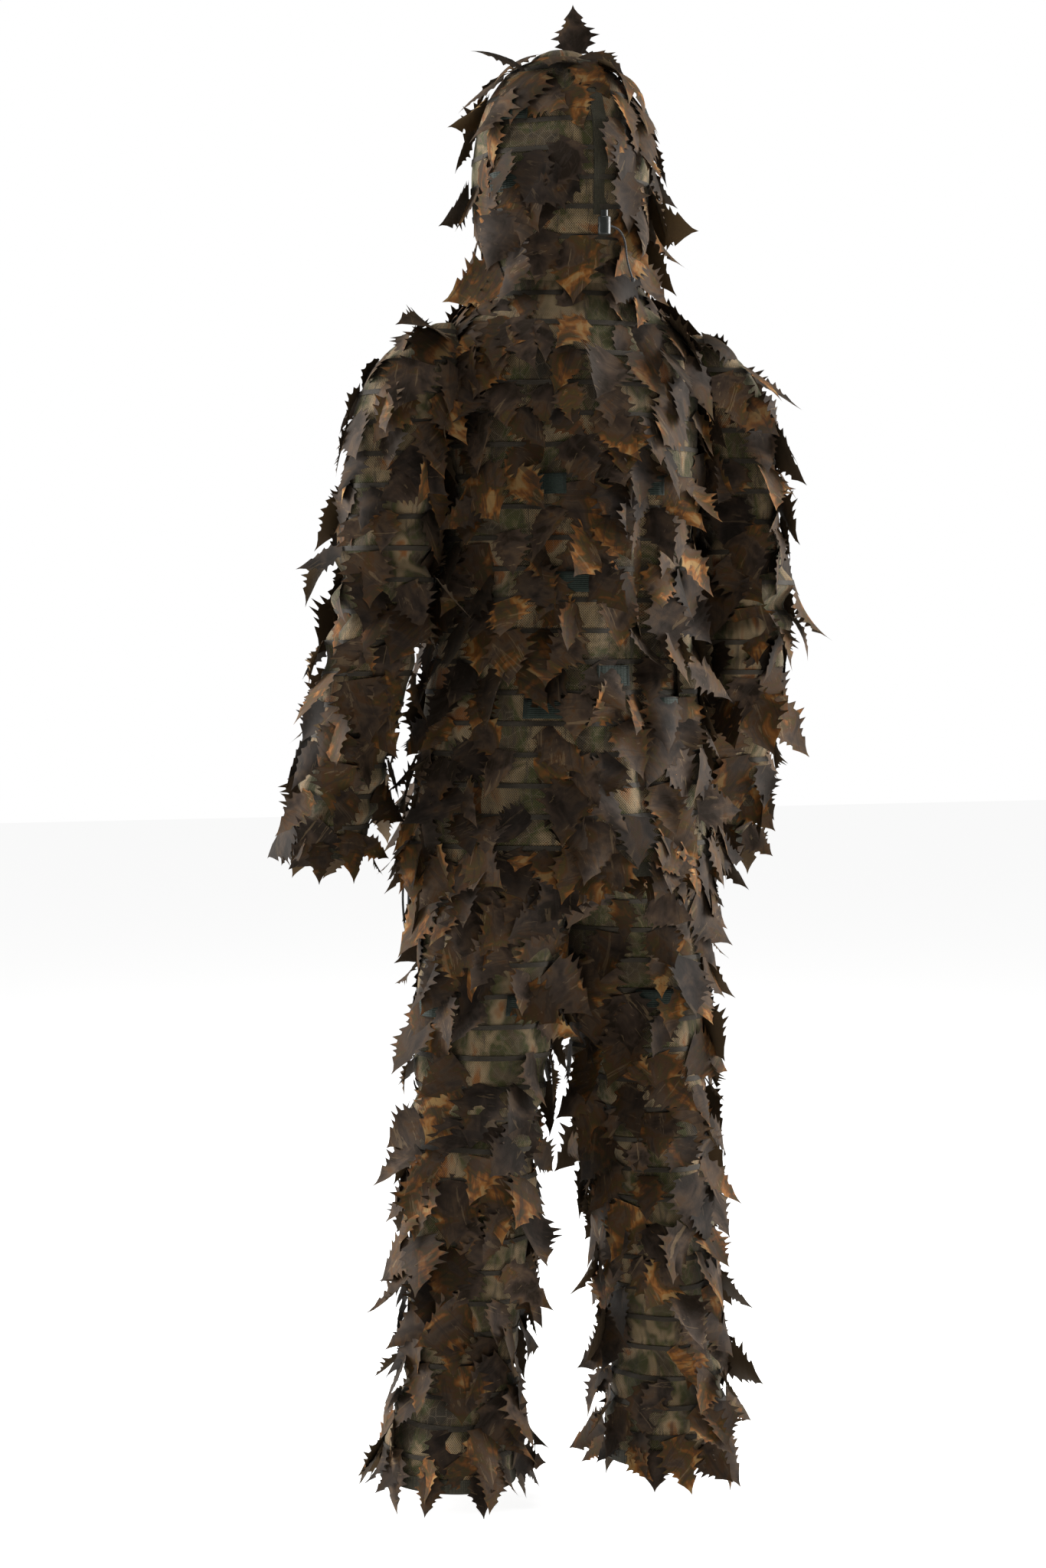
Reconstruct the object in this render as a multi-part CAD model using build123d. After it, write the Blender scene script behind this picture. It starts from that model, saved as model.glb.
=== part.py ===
from build123d import *
import os
from math import sin, cos, tan, radians, sqrt, pi

os.makedirs("parts", exist_ok=True)

# Two-piece ghillie suit: hooded leaf jacket over leaf trousers. Millimetres.
# Origin: centre of the trousers' waist opening. +Z up, the suit faces -Y, the wearer's left is +X.
# The tubes are lofts through level rings: (height, centre x, centre y, half width, half depth).

cloth = 1.8           # wall of the mesh cloth with its seam allowances
clear = 0.3           # gap left between neighbours
ring_points = 16      # points on each ring's closed spline

waist_height = 1050   # waist opening above the floor
hem_z = -215          # lower edge of the jacket's cloth
neck_z = 500          # upper edge of the jacket's cloth
yoke_z = 340          # seam between the yoke and the panels below
front_hem_y = -184    # zip line at the hem
front_slope = 0.1217  # how far the zip line leans back per millimetre of height

hip_axis_z = -130
knee_axis_z = -550
elbow_axis_z = 120
fold_above = 85       # free length above a knee or elbow axis
fold_below = 60       # free length below it

jacket_sides = [      # (height, half width, y of the back)
    (hem_z, 203, 168), (-120, 190, 163), (0, 173, 157), (130, 164, 156), (250, 164, 157),
    (yoke_z, 166, 150), (400, 168, 138), (440, 156, 124), (475, 124, 106), (neck_z, 100, 92)]
hood_rings = [
    (535, 0, 8, 100, 102), (590, 0, -4, 108, 122), (650, 0, -10, 110, 130), (700, 0, -12, 105, 126),
    (745, 0, -13, 88, 108), (780, 0, -12, 60, 76), (796, 0, -12, 32, 42), (802, 0, -12, 12, 16)]
hip_rings = [(-40, 0, -2, 160, 118), (-120, 0, -2, 174, 132), (-200, 0, -2, 184, 140)]

left_sleeve = [(320, 226, 10, 57, 74), (205, 238, 10, 55, 66), (120, 248, 9, 55, 62),
               (60, 256, -2, 54, 60), (-60, 277, -24, 50, 54), (-195, 300, -52, 47, 50)]
right_sleeve = [(320, -226, 10, 57, 74), (205, -238, 14, 55, 66), (120, -248, 16, 55, 62),
                (60, -250, 6, 54, 60), (-60, -258, -40, 50, 54), (-195, -262, -99, 47, 50)]
left_leg = [(-330, 96, 0, 88, 92), (-465, 108, 0, 82, 86), (-550, 118, 0, 78, 82),
            (-700, 131, 2, 73, 77), (-880, 144, 0, 68, 74), (-985, 152, -16, 84, 106)]
right_leg = [(-330, -96, 0, 88, 92), (-465, -108, 0, 82, 86), (-550, -118, 0, 78, 82),
             (-700, -131, 2, 73, 77), (-880, -144, 4, 70, 75), (-985, -147, -2, 78, 86)]
shoulder_cap = [(446, 172, 10, 20, 34), (430, 184, 10, 38, 52), (400, 200, 10, 52, 66),
                (360, 216, 10, 58, 73), (320 + clear, 226, 10, 57, 74)]

binding_width = 18    # folded tape on every open edge
binding_wall = 1.4
zip_top_z = 492
zip_bottom_z = hem_z + 4
tape_inner = 3.6      # the tapes' inner edges, from the zip's centre line
tape_outer = 13.7
leaf_wall = 0.8
leaf_stand_off = 4.5  # a leaf's sewn edge or a tab above the cloth
tab_size = (48, 25, 1.3)
cord_radius = 1.5
tail_radius = 1.25
knot_radius = 3.0


def front_y(height):
    return front_hem_y + (height - hem_z) * front_slope


def jacket_ring(height, half_width, back_y):
    centre = (front_y(height) + back_y) / 2
    return (height, 0, centre, half_width, back_y - centre)


jacket_rings = [jacket_ring(*side) for side in jacket_sides]


def ring_at(rings, height):
    """One ring between two of the listed ones, worked out in a straight line."""
    ordered = sorted(rings)
    for low, high in zip(ordered, ordered[1:]):
        if low[0] <= height <= high[0]:
            share = (height - low[0]) / (high[0] - low[0])
            return tuple(a + (b - a) * share for a, b in zip(low, high))
    return ordered[0] if height < ordered[0][0] else ordered[-1]


def span(rings, low, high):
    inside = [ring for ring in sorted(rings) if low + 1 < ring[0] < high - 1]
    return [(low,) + ring_at(rings, low)[1:]] + inside + [(high,) + ring_at(rings, high)[1:]]


def grown(rings, by):
    return [(z, x, y, a + by, b + by) for z, x, y, a, b in rings]


def closed_wire(points):
    return Wire([Edge.make_spline([Vector(*point) for point in points], periodic=True)])


def ring_wire(ring):
    z, x, y, a, b = ring
    turns = [2 * pi * i / ring_points for i in range(ring_points)]
    return closed_wire([(x + a * sin(t), y - b * cos(t), z) for t in turns])


def solid_tube(rings):
    return Solid.make_loft([ring_wire(ring) for ring in rings], ruled=True)


def shell_tube(rings, wall=cloth):
    return solid_tube(rings) - solid_tube(grown(rings, -wall))


def band(rings, inner, outer):
    """A skin that lies on a tube, from inner to outer above its surface."""
    return solid_tube(grown(rings, outer)) - solid_tube(grown(rings, inner))


def block(x_range, y_range, z_range):
    size = [high - low for low, high in (x_range, y_range, z_range)]
    centre = [(low + high) / 2 for low, high in (x_range, y_range, z_range)]
    return Pos(*centre) * Box(*size)


def mirrored(rings):
    return [(z, -x, y, a, b) for z, x, y, a, b in rings]


def save(shape, name):
    solids = shape.solids()
    export_step(Compound(children=list(solids)) if len(solids) > 1 else solids[0], f"parts/{name}.step")


# ---- leaves and foliage tabs ----

leaf_half = [(0.30, 0.0), (0.50, 0.16), (0.34, 0.30), (0.50, 0.50), (0.24, 0.66)]


def leaf_face(length, width):
    right = [(u * width, v * length) for u, v in leaf_half]
    left = [(-u, v) for u, v in reversed(right)]
    return Face(Wire(Polyline(right + [(0, length)] + left, close=True).edges()))


def on_cloth(rings, height, turn, stand_off):
    """A point above the cloth at a turn from the front, and the level direction out of it."""
    z, x, y, a, b = ring_at(rings, height)
    angle = radians(turn)
    outward = Vector(sin(angle) / a, -cos(angle) / b, 0).normalized()
    return Vector(x + a * sin(angle), y - b * cos(angle), height) + outward * stand_off, outward


def surface_frame(rings, height, turn, stand_off, reach, lift):
    """Plane from a point on the cloth to one a reach lower, lifted off it: x along the cloth, y down."""
    origin, outward = on_cloth(rings, height, turn, stand_off)
    lower, lower_outward = on_cloth(rings, height - reach, turn, stand_off)
    chord = (lower - origin).normalized()
    down = (chord * cos(radians(lift)) + outward * sin(radians(lift))).normalized()
    along = Vector(-outward.Y, outward.X, 0)
    return Plane(origin=origin, x_dir=along, z_dir=along.cross(down))


def leaf(rings, height, turn, lift=10, length=84, width=68):
    frame = surface_frame(rings, height, turn, leaf_stand_off, length, lift)
    return extrude(frame * leaf_face(length, width), leaf_wall)


def leaf_rows(rings, rows, **shape):
    return Compound(children=[leaf(rings, z, turn, **shape).solids()[0] for z, turns in rows for turn in turns])


def tabs(rings, places):
    width, length, wall = tab_size
    pieces = []
    for z, turn in places:
        frame = surface_frame(rings, z + length / 2, turn, leaf_stand_off, length, 2)
        strap = extrude(frame * Pos(0, length / 2) * Rectangle(width, length), wall)
        pieces.append(strap.solids()[0])
    return Compound(children=pieces)


# ---- trousers ----

def waist_casing():
    low, high = -40, 0
    rings = [(low, 0, -2, 160, 118), (high, 0, -2, 160, 118)]
    pocket = [(low - 1, 0, -2, 160, 118), (high - binding_wall, 0, -2, 160, 118)]
    ring = band(rings, -5.0, 0)
    return ring - band(pocket, -5.0 + binding_wall, -binding_wall)


def waist_elastic():
    rings = [(-38, 0, -2, 160, 118), (-3, 0, -2, 160, 118)]
    return band(rings, -5.0 + binding_wall + clear, -binding_wall - clear)


def half_hip_wire(side):
    """Left or right half of the lowest hip ring, closed by a flat side at the middle."""
    z, x, y, a, b = hip_rings[-1]
    middle = a / 2
    points = []
    for i in range(ring_points * 2):
        t = pi * i / ring_points
        dx, dy = sin(t), -cos(t)
        qa = (dx / a) ** 2 + (dy / b) ** 2
        qb = 2 * middle * dx / a ** 2
        qc = (middle / a) ** 2 - 1
        to_edge = (-qb + sqrt(qb * qb - 4 * qa * qc)) / (2 * qa)
        to_flat = middle / -dx if dx < -0.01 else 1e4
        reach = (to_edge ** -10 + to_flat ** -10) ** -0.1
        points.append((side * (3 * clear + middle + reach * dx), y + reach * dy, z - clear))
    return points


def leg_top_points(rings, side):
    z, x, y, a, b = ring_at(rings, -330)
    turns = [pi * i / ring_points for i in range(ring_points * 2)]
    return [(x + side * a * sin(t), y - b * cos(t), z + clear) for t in turns]


def inset(points, by):
    count = len(points)
    cx = sum(p[0] for p in points) / count
    cy = sum(p[1] for p in points) / count
    moved = []
    for x, y, z in points:
        reach = sqrt((x - cx) ** 2 + (y - cy) ** 2)
        share = (reach - by) / reach
        moved.append((cx + (x - cx) * share, cy + (y - cy) * share, z))
    return moved


def hip_fold(rings, side):
    """Soft cloth from half of the hips to one thigh, open to the other leg above the crotch."""
    top = half_hip_wire(side)
    bottom = leg_top_points(rings, side)
    outer = Solid.make_loft([closed_wire(bottom), closed_wire(top)])
    inner = Solid.make_loft([closed_wire(inset(bottom, cloth)), closed_wire(inset(top, cloth))])
    window = block(sorted((-side, side * 16)), (-112, 108), (-290, -199))
    return outer - inner - window


def make_trousers():
    save(waist_casing(), "waist_casing")
    save(waist_elastic(), "waist_elastic")
    save(shell_tube(span(hip_rings, -200, -40 - clear)), "trousers_seat")
    for name, rings, side in (("left", left_leg, 1), ("right", right_leg, -1)):
        knee_top = knee_axis_z + fold_above
        knee_bottom = knee_axis_z - fold_below
        save(hip_fold(rings, side), f"hip_fold_{name}")
        save(shell_tube(span(rings, knee_top, -330)), f"thigh_{name}")
        save(shell_tube(span(rings, knee_bottom + clear, knee_top - clear)), f"knee_fold_{name}")
        save(shell_tube(span(rings, -985, knee_bottom)), f"shin_{name}")
        edge = [(-985 - binding_width,) + ring_at(rings, -985)[1:], (-985 - clear,) + ring_at(rings, -985)[1:]]
        save(band(edge, -2 * binding_wall, 0), f"trouser_hem_{name}")
        out = [side * turn for turn in (30, 75, 120, 165)]
        save(leaf_rows(rings, [(-350, out)]), f"thigh_{name}_leaves")
        all_round = [side * turn for turn in (5, 65, 125, 185)]
        rows = [(-640, all_round), (-760, [turn + 30 * side for turn in all_round[:3]]), (-870, all_round)]
        lower = leaf_rows(rings, rows)
        fringe_turns = [side * turn for turn in (20, 70, 120, 170, 230, 310)]
        fringe = leaf_rows(rings, [(-976, fringe_turns)], lift=16, length=58, width=46)
        save(Compound(children=lower.solids() + fringe.solids()), f"shin_{name}_leaves")
        save(tabs(rings, [(-400, side * 98), (-395, side * 188)]), f"thigh_{name}_tabs")


# ---- jacket ----

def side_hole(side):
    """Armhole through the jacket's side."""
    hole = extrude(Plane.YZ * Ellipse(46, 48), 120 * side)
    return Pos(side * 110, 10, 378) * hole


def zip_slot():
    return block((-14, 14), (-260, -40), (hem_z - 30, neck_z + 10))


def part_of(shape, x_range, y_range, z_range):
    return shape & block(x_range, y_range, z_range)


side_seam_y = 20
zip_start = Vector(0, front_y(zip_bottom_z) + cloth, zip_bottom_z)
zip_along = Vector(0, front_slope, 1).normalized()
zip_out = Vector(0, -1, front_slope).normalized()
zip_length = (zip_top_z - zip_bottom_z) / zip_along.Z


def on_zip(x, out, along):
    return zip_start + Vector(x, 0, 0) + zip_out * out + zip_along * along


def zip_block(x_range, out_range, along_range):
    """A block in the zip's own frame: across, out of the cloth, and up along the chain."""
    centre = on_zip(sum(x_range) / 2, sum(out_range) / 2, sum(along_range) / 2)
    plane = Plane(origin=centre, x_dir=(1, 0, 0), z_dir=zip_along)
    size = (x_range[1] - x_range[0], out_range[1] - out_range[0], along_range[1] - along_range[0])
    return plane * Box(*size)


def zip_tapes():
    return Compound(children=[zip_block(sorted((s * tape_inner, s * tape_outer)), (0.4, 1.4), (0, zip_length))
                              .solids()[0] for s in (1, -1)])


def zip_coils():
    """The two coils of the chain, each one continuous filament, as plain bars."""
    coils = [zip_block(sorted((s * 1.1, s * tape_inner)), (-0.4, 2.2), (8, zip_length - 6)) for s in (1, -1)]
    return Compound(children=[coil.solids()[0] for coil in coils])


def zip_stops():
    top = [zip_block(sorted((s * 1.1, s * tape_inner)), (-0.6, 2.4), (zip_length - 5, zip_length)) for s in (1, -1)]
    box = zip_block((-tape_inner + 0.05, tape_inner - 0.05), (-0.6, 2.4), (0, 7))
    return Compound(children=[piece.solids()[0] for piece in top + [box]])


slider_along = (zip_length - 20, zip_length - 6)   # closed, just under the top stops
lug_out = 6.0


def zip_slider():
    front = zip_block((-5.5, 5.5), (2.8, 4.2), slider_along)
    back = zip_block((-5.5, 5.5), (-2.2, -0.8), slider_along)
    post = zip_block((-0.7, 0.7), (-2.0, 3.0), (slider_along[1] - 3, slider_along[1]))
    lug = zip_block((-2.6, 2.6), (4.0, 8.4), (slider_along[1] - 6, slider_along[1] - 1))
    hole = Plane(origin=on_zip(0, lug_out + 0.3, slider_along[1] - 3.5), z_dir=(1, 0, 0)) * Cylinder(1.25, 20)
    return front + back + post + lug - hole


pull_hinge = on_zip(0, lug_out + 0.3, slider_along[1] - 3.5)
pull_hole_along = slider_along[1] - 34


def zip_pull():
    """Fork and pin through the slider's lug, with a holed tag that hangs in front of the chain."""
    pin = Plane(origin=pull_hinge, z_dir=(1, 0, 0)) * Cylinder(1.1, 9.6)
    arms = [zip_block(sorted((s * 3.0, s * 4.8)), (lug_out - 0.8, lug_out + 1.4),
                      (slider_along[1] - 12, slider_along[1] - 2.2)) for s in (1, -1)]
    tag = zip_block((-4.8, 4.8), (lug_out - 0.5, lug_out + 1.1), (slider_along[1] - 40, slider_along[1] - 11))
    middle = on_zip(0, lug_out + 0.3, pull_hole_along)
    hole = Plane(origin=middle, z_dir=zip_out) * Cylinder(1.6, 10)
    return pin + arms[0] + arms[1] + tag - hole


# Where the elastic cord leaves the jacket's hem, at the wearer's left and a little forward
hem_exit, hem_outward = on_cloth(jacket_rings, hem_z, 71, -2)
hem_tangent = Vector(-hem_outward.Y, hem_outward.X, 0)
hem_exit_z = hem_z - binding_width - 1.5


def by_hem(along, out, down):
    base = Vector(hem_exit.X, hem_exit.Y, hem_exit_z)
    return base + hem_tangent * along + hem_outward * out - Vector(0, 0, down)


# The loop of elastic cord: (along the hem, outwards, down), crossing itself once
hem_loop = [(-6, 0, 0), (-6, 1.5, 9), (-1, 3.5, 23), (9, 3.5, 37), (14, 2.5, 53), (11, 1, 69), (0, 0, 77),
            (-11, -1, 70), (-15, -2.5, 55), (-10, -3.5, 38), (1, -3.5, 23), (6, -1.5, 9), (6, 0, 0)]


def cord_tube(points, radius, name):
    """Straight runs joined by the largest arcs that both runs allow."""
    points = [Vector(*point) for point in points]
    radii = []
    for before, here, after in zip(points, points[1:], points[2:]):
        first, second = here - before, after - here
        turn = radians(first.get_angle(second))
        radii.append(0.45 * min(first.length, second.length) / tan(turn / 2))
    path = FilletPolyline(*points, radius=radii)
    print(name, "radii", [round(r, 1) for r in radii], "length", round(path.length, 1))
    start = Plane(origin=points[0], z_dir=(points[1] - points[0]))
    tube = sweep(start * Circle(radius), path=path)
    print(name, "volume share", round(tube.volume / (pi * radius ** 2 * path.length), 4))
    return tube


def hem_eyelets():
    pieces = []
    for along in (-6, 6):
        centre = by_hem(along, 0, -0.75)
        ring = Pos(centre.X, centre.Y, centre.Z) * (Cylinder(4.6, 1.5) - Cylinder(1.6, 3))
        pieces.append(ring.solids()[0])
    return Compound(children=pieces)


def make_jacket():
    shell = shell_tube(jacket_rings) - side_hole(1) - side_hole(-1) - zip_slot()
    wide = 400
    body, yoke = (hem_z - 1, yoke_z), (yoke_z, neck_z + 1)
    save(part_of(shell, (-wide, wide), (side_seam_y, wide), body), "back_panel")
    save(part_of(shell, (0, wide), (-wide, side_seam_y), body), "front_left")
    save(part_of(shell, (-wide, 0), (-wide, side_seam_y), body), "front_right")
    save(part_of(shell, (-wide, wide), (side_seam_y, wide), yoke), "yoke_back")
    save(part_of(shell, (-wide, wide), (-wide, side_seam_y), yoke), "yoke_front")
    edge = [(hem_z - binding_width,) + jacket_rings[0][1:], (hem_z - clear,) + jacket_rings[0][1:]]
    save(band(edge, -4, 0) - zip_slot(), "jacket_hem")
    save(hem_eyelets(), "hem_eyelets")
    save(cord_tube([by_hem(*point) for point in hem_loop], cord_radius, "hem_loop"), "hem_cord")
    save(zip_tapes(), "zip_tapes")
    save(zip_coils(), "zip_coils")
    save(zip_stops(), "zip_stops")
    save(zip_slider(), "zip_slider")
    save(zip_pull(), "zip_pull")
    neck = [(neck_z + clear,) + jacket_rings[-1][1:], (535 - clear,) + hood_rings[0][1:]]
    save(shell_tube(neck), "neck_band")
    back_rows = [(-110, [140, 180, 220]), (20, [120, 240]), (130, [136, 186, 220]), (250, [174]), (420, [155, 205])]
    front_rows = [(-110, [22, 338]), (90, [25, 335]), (280, [30, 330])]
    fringe = leaf_rows(jacket_rings, [(hem_z + 6, [24, 50, 105, 150, 210, 255, 310, 336])],
                       lift=16, length=64, width=52)
    body = leaf_rows(jacket_rings, back_rows + front_rows, width=60)
    save(Compound(children=body.solids() + fringe.solids()), "jacket_leaves")
    places = [(15, 180), (-25, 152), (130, 163), (250, 197), (250, 152), (-25, 208), (20, 40), (20, 320)]
    save(tabs(jacket_rings, places), "jacket_tabs")


# ---- sleeves ----

def make_sleeve(name, rings, side):
    cap = shoulder_cap if side > 0 else mirrored(shoulder_cap)
    jacket_body = solid_tube(grown(jacket_rings, 2 * clear))
    save(shell_tube(list(reversed(cap))) - jacket_body, f"shoulder_fold_{name}")
    elbow_top = elbow_axis_z + fold_above
    elbow_bottom = elbow_axis_z - fold_below
    save(shell_tube(span(rings, elbow_top, 320)), f"upper_sleeve_{name}")
    save(shell_tube(span(rings, elbow_bottom + clear, elbow_top - clear)), f"elbow_fold_{name}")
    save(shell_tube(span(rings, -195, elbow_bottom)), f"forearm_{name}")
    edge = [(-195 - binding_width,) + ring_at(rings, -195)[1:], (-195 - clear,) + ring_at(rings, -195)[1:]]
    save(band(edge, -3, 0), f"cuff_{name}")
    upper = leaf_rows(rings, [(300, [side * turn for turn in (0, 60, 120, 180)])], width=58)
    save(upper, f"upper_sleeve_{name}_leaves")
    lower_rows = [(30, [side * turn for turn in (30, 90, 150)]), (-80, [side * turn for turn in (60, 105, 150)])]
    lower = leaf_rows(rings, lower_rows, width=50)
    fringe = leaf_rows(rings, [(-188, [side * turn for turn in (10, 70, 130, 190)])], lift=16, length=56, width=46)
    save(Compound(children=lower.solids() + fringe.solids()), f"forearm_{name}_leaves")


# ---- hood ----

face_centre_z = 635
face_half = (78, 92)
channel_half = 9
lock_z = (556, 578)
lock_radius = 8
lock_centre_y = 131
stem_radius = 4.6


def face_tool(extra):
    tool = extrude(Plane.XZ * Ellipse(face_half[0] + extra, face_half[1] + extra), 200)
    return Pos(0, -55, face_centre_z) * tool


def make_hood():
    cloth_shell = solid_tube(hood_rings) - solid_tube([(min(z, 802 - cloth),) + tuple(rest) for z, *rest in
                                                       grown(hood_rings, -cloth)])
    shell = cloth_shell - face_tool(0)
    save(shell & block((0, 300), (-300, 300), (500, 900)), "hood_left")
    save(shell & block((-300, 0), (-300, 300), (500, 900)), "hood_right")
    brim = band(hood_rings, 0.1, 0.1 + binding_wall) & (face_tool(8) - face_tool(0))
    save(brim & block((-300, 300), (-300, -40), (500, 790)), "face_binding")
    strip = band(hood_rings, 0.1, 2.6)
    save(strip & block((-channel_half, channel_half), (20, 300), (582, 780)), "cord_channel")
    side_rows = [(585, [60, 300]), (665, [90, 270, 130, 230]), (745, [70, 290])]
    rear_rows = [(740, [155, 205]), (650, [150, 180 + 30])]
    body = leaf_rows(hood_rings, side_rows + rear_rows, lift=12, length=66, width=46)
    proud = extrude(Plane(origin=(6, -10, 806), x_dir=(0.8, 0.6, 0), z_dir=(0.6, -0.8, 0)) *
                    leaf_face(60, 36), leaf_wall)
    save(Compound(children=body.solids() + proud.solids()), "hood_leaves")
    save(tabs(hood_rings, [(715, 120), (715, 240), (625, 118)]), "hood_tabs")
    make_cord_lock()


# Cord tail from the lock's side hole, hanging past the nape
hood_tail = [(-lock_radius, 131, 567), (-16.5, 131.5, 565.5), (-24, 132.5, 557.5), (-27.5, 134, 545),
             (-28, 135, 531), (-30.5, 136, 517.5), (-35, 136.5, 505)]


def make_cord_lock():
    low, high = lock_z
    middle = (low + high) / 2
    barrel = Pos(0, lock_centre_y, middle) * (Cylinder(lock_radius, high - low))
    pocket = Pos(0, lock_centre_y, middle + 2) * Cylinder(stem_radius + 0.2, high - low)
    side_hole_tool = Pos(0, lock_centre_y, 567) * Rot(0, 90, 0) * Cylinder(tail_radius + 0.2, 40)
    save(fillet((barrel).edges(), 1.2) - pocket - side_hole_tool, "cord_lock_barrel")
    stem = Pos(0, lock_centre_y, (564 + 586) / 2) * Cylinder(stem_radius, 586 - 564)
    stem_hole = Pos(0, lock_centre_y, 569) * Rot(0, 90, 0) * Cylinder(tail_radius + 0.3, 40)
    save(stem - stem_hole, "cord_lock_button")
    coils = [Pos(0, lock_centre_y, 558.6 + i * 1.3) * (Cylinder(3.6, 0.6) - Cylinder(2.8, 2)) for i in range(4)]
    save(Compound(children=[coil.solids()[0] for coil in coils]), "cord_lock_spring")
    save(cord_tube(hood_tail, tail_radius, "hood_tail"), "hood_cord")
    end, before = Vector(*hood_tail[-1]), Vector(*hood_tail[-2])
    knot = end + (end - before).normalized() * (knot_radius + 0.05)
    save(Pos(knot.X, knot.Y, knot.Z) * Sphere(knot_radius), "hood_cord_knot")


make_trousers()
make_jacket()
make_sleeve("left", left_sleeve, 1)
make_sleeve("right", right_sleeve, -1)
make_hood()
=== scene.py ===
import math
import random

import bpy
import numpy as np
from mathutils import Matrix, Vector


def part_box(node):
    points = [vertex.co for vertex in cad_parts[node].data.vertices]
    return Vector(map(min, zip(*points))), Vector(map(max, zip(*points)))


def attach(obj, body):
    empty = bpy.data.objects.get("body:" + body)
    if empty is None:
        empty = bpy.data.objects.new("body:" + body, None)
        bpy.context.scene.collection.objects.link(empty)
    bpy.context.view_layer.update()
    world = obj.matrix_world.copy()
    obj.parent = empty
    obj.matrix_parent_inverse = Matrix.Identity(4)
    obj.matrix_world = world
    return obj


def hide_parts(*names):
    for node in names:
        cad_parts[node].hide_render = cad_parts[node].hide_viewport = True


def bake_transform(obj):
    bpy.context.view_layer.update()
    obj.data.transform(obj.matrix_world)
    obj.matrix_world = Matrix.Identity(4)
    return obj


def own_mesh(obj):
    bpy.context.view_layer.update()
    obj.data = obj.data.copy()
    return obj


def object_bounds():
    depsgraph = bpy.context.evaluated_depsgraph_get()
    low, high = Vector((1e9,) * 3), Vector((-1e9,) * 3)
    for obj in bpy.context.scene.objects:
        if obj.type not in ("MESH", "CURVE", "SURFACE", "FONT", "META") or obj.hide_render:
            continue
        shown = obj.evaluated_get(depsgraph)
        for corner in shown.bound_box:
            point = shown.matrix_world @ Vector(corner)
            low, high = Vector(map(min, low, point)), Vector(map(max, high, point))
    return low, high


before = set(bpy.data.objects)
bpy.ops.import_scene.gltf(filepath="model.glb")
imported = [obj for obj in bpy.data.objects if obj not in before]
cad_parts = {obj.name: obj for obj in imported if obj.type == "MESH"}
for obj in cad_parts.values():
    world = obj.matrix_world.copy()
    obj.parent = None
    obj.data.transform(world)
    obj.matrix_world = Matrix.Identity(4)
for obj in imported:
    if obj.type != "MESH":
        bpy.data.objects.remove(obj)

cadLow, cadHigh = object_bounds()
mm = 0.001
fullTurn = 2 * math.pi

view = {
    "azimuth": 158,       # degrees: behind the wearer, towards their left
    "distance": 4.0,
    "height": 0.06,       # above the waist opening
    "lens": 72,
    "target": (0.047, -0.019, -0.125),
}
stageValues = {
    "floorZ": -1.05,
    "floorSize": 30,
    "floorColour": (0.6, 0.6, 0.59),
    "floorGlow": 0.90,
    "worldColour": (1.0, 1.0, 1.0),
    "worldStrength": 0.07,
    "backdrop": 1.0,              # strength of the white that only the camera sees
    "aim": (0, 0, -0.1),
    "sideLight": 200,             # watts
    "sideSize": (1.4, 2.6),
    "sidePlace": (2.6, 0.5, 0.6),     # to the side, away from the camera, up
    "topLight": 55,
    "topSize": (2.0, 2.0),
    "topPlace": (1.2, 3.2),           # towards the camera, up
}
viewTurn = math.radians(view["azimuth"])
viewBack = Vector((math.sin(viewTurn), -math.cos(viewTurn), 0))
viewRight = Vector((math.cos(viewTurn), math.sin(viewTurn), 0))


def newObject(name, data):
    made = bpy.data.objects.new(name, data)
    bpy.context.scene.collection.objects.link(made)
    return made


def makeCamera():
    target = Vector(view["target"])
    data = bpy.data.cameras.new("camera")
    data.lens = view["lens"]
    camera = newObject("camera", data)
    camera.location = Vector((target.x, target.y, view["height"])) + viewBack * view["distance"]
    camera.rotation_euler = (target - camera.location).to_track_quat("-Z", "Y").to_euler()
    bpy.context.scene.camera = camera


def addLight(name, place, size, power):
    data = bpy.data.lights.new(name, "AREA")
    data.shape = "RECTANGLE"
    data.size, data.size_y = size
    data.energy = power
    light = newObject(name, data)
    light.location = place
    light.rotation_euler = (Vector(stageValues["aim"]) - place).to_track_quat("-Z", "Y").to_euler()


def makeStage():
    bpy.ops.mesh.primitive_plane_add(size=stageValues["floorSize"], location=(0, 0, stageValues["floorZ"]))
    floor = bpy.context.object
    floor.name = "floor"
    paint = bpy.data.materials.new("floorPaint")
    paint.use_nodes = True
    shader = paint.node_tree.nodes["Principled BSDF"]
    shader.inputs["Base Color"].default_value = (*stageValues["floorColour"], 1)
    shader.inputs["Roughness"].default_value = 0.8
    shader.inputs["Emission Color"].default_value = (1, 1, 1, 1)
    shader.inputs["Emission Strength"].default_value = stageValues["floorGlow"]
    floor.data.materials.append(paint)
    world = bpy.data.worlds.new("studio")
    world.use_nodes = True
    tree = world.node_tree
    sky = tree.nodes["Background"]
    sky.inputs["Color"].default_value = (*stageValues["worldColour"], 1)
    rays = tree.nodes.new("ShaderNodeLightPath")
    choice = tree.nodes.new("ShaderNodeMapRange")     # a white backdrop behind a softer sky
    choice.inputs["To Min"].default_value = stageValues["worldStrength"]
    choice.inputs["To Max"].default_value = stageValues["backdrop"]
    tree.links.new(rays.outputs["Is Camera Ray"], choice.inputs["Value"])
    tree.links.new(choice.outputs[0], sky.inputs["Strength"])
    bpy.context.scene.world = world
    aside, away, up = stageValues["sidePlace"]
    for name, side in (("stripLeft", -1), ("stripRight", 1)):
        place = viewRight * side * aside - viewBack * away + Vector((0, 0, up))
        addLight(name, place, stageValues["sideSize"], stageValues["sideLight"])
    near, high = stageValues["topPlace"]
    addLight("overhead", Vector((0, 0, high)) + viewBack * near, stageValues["topSize"], stageValues["topLight"])


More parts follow.
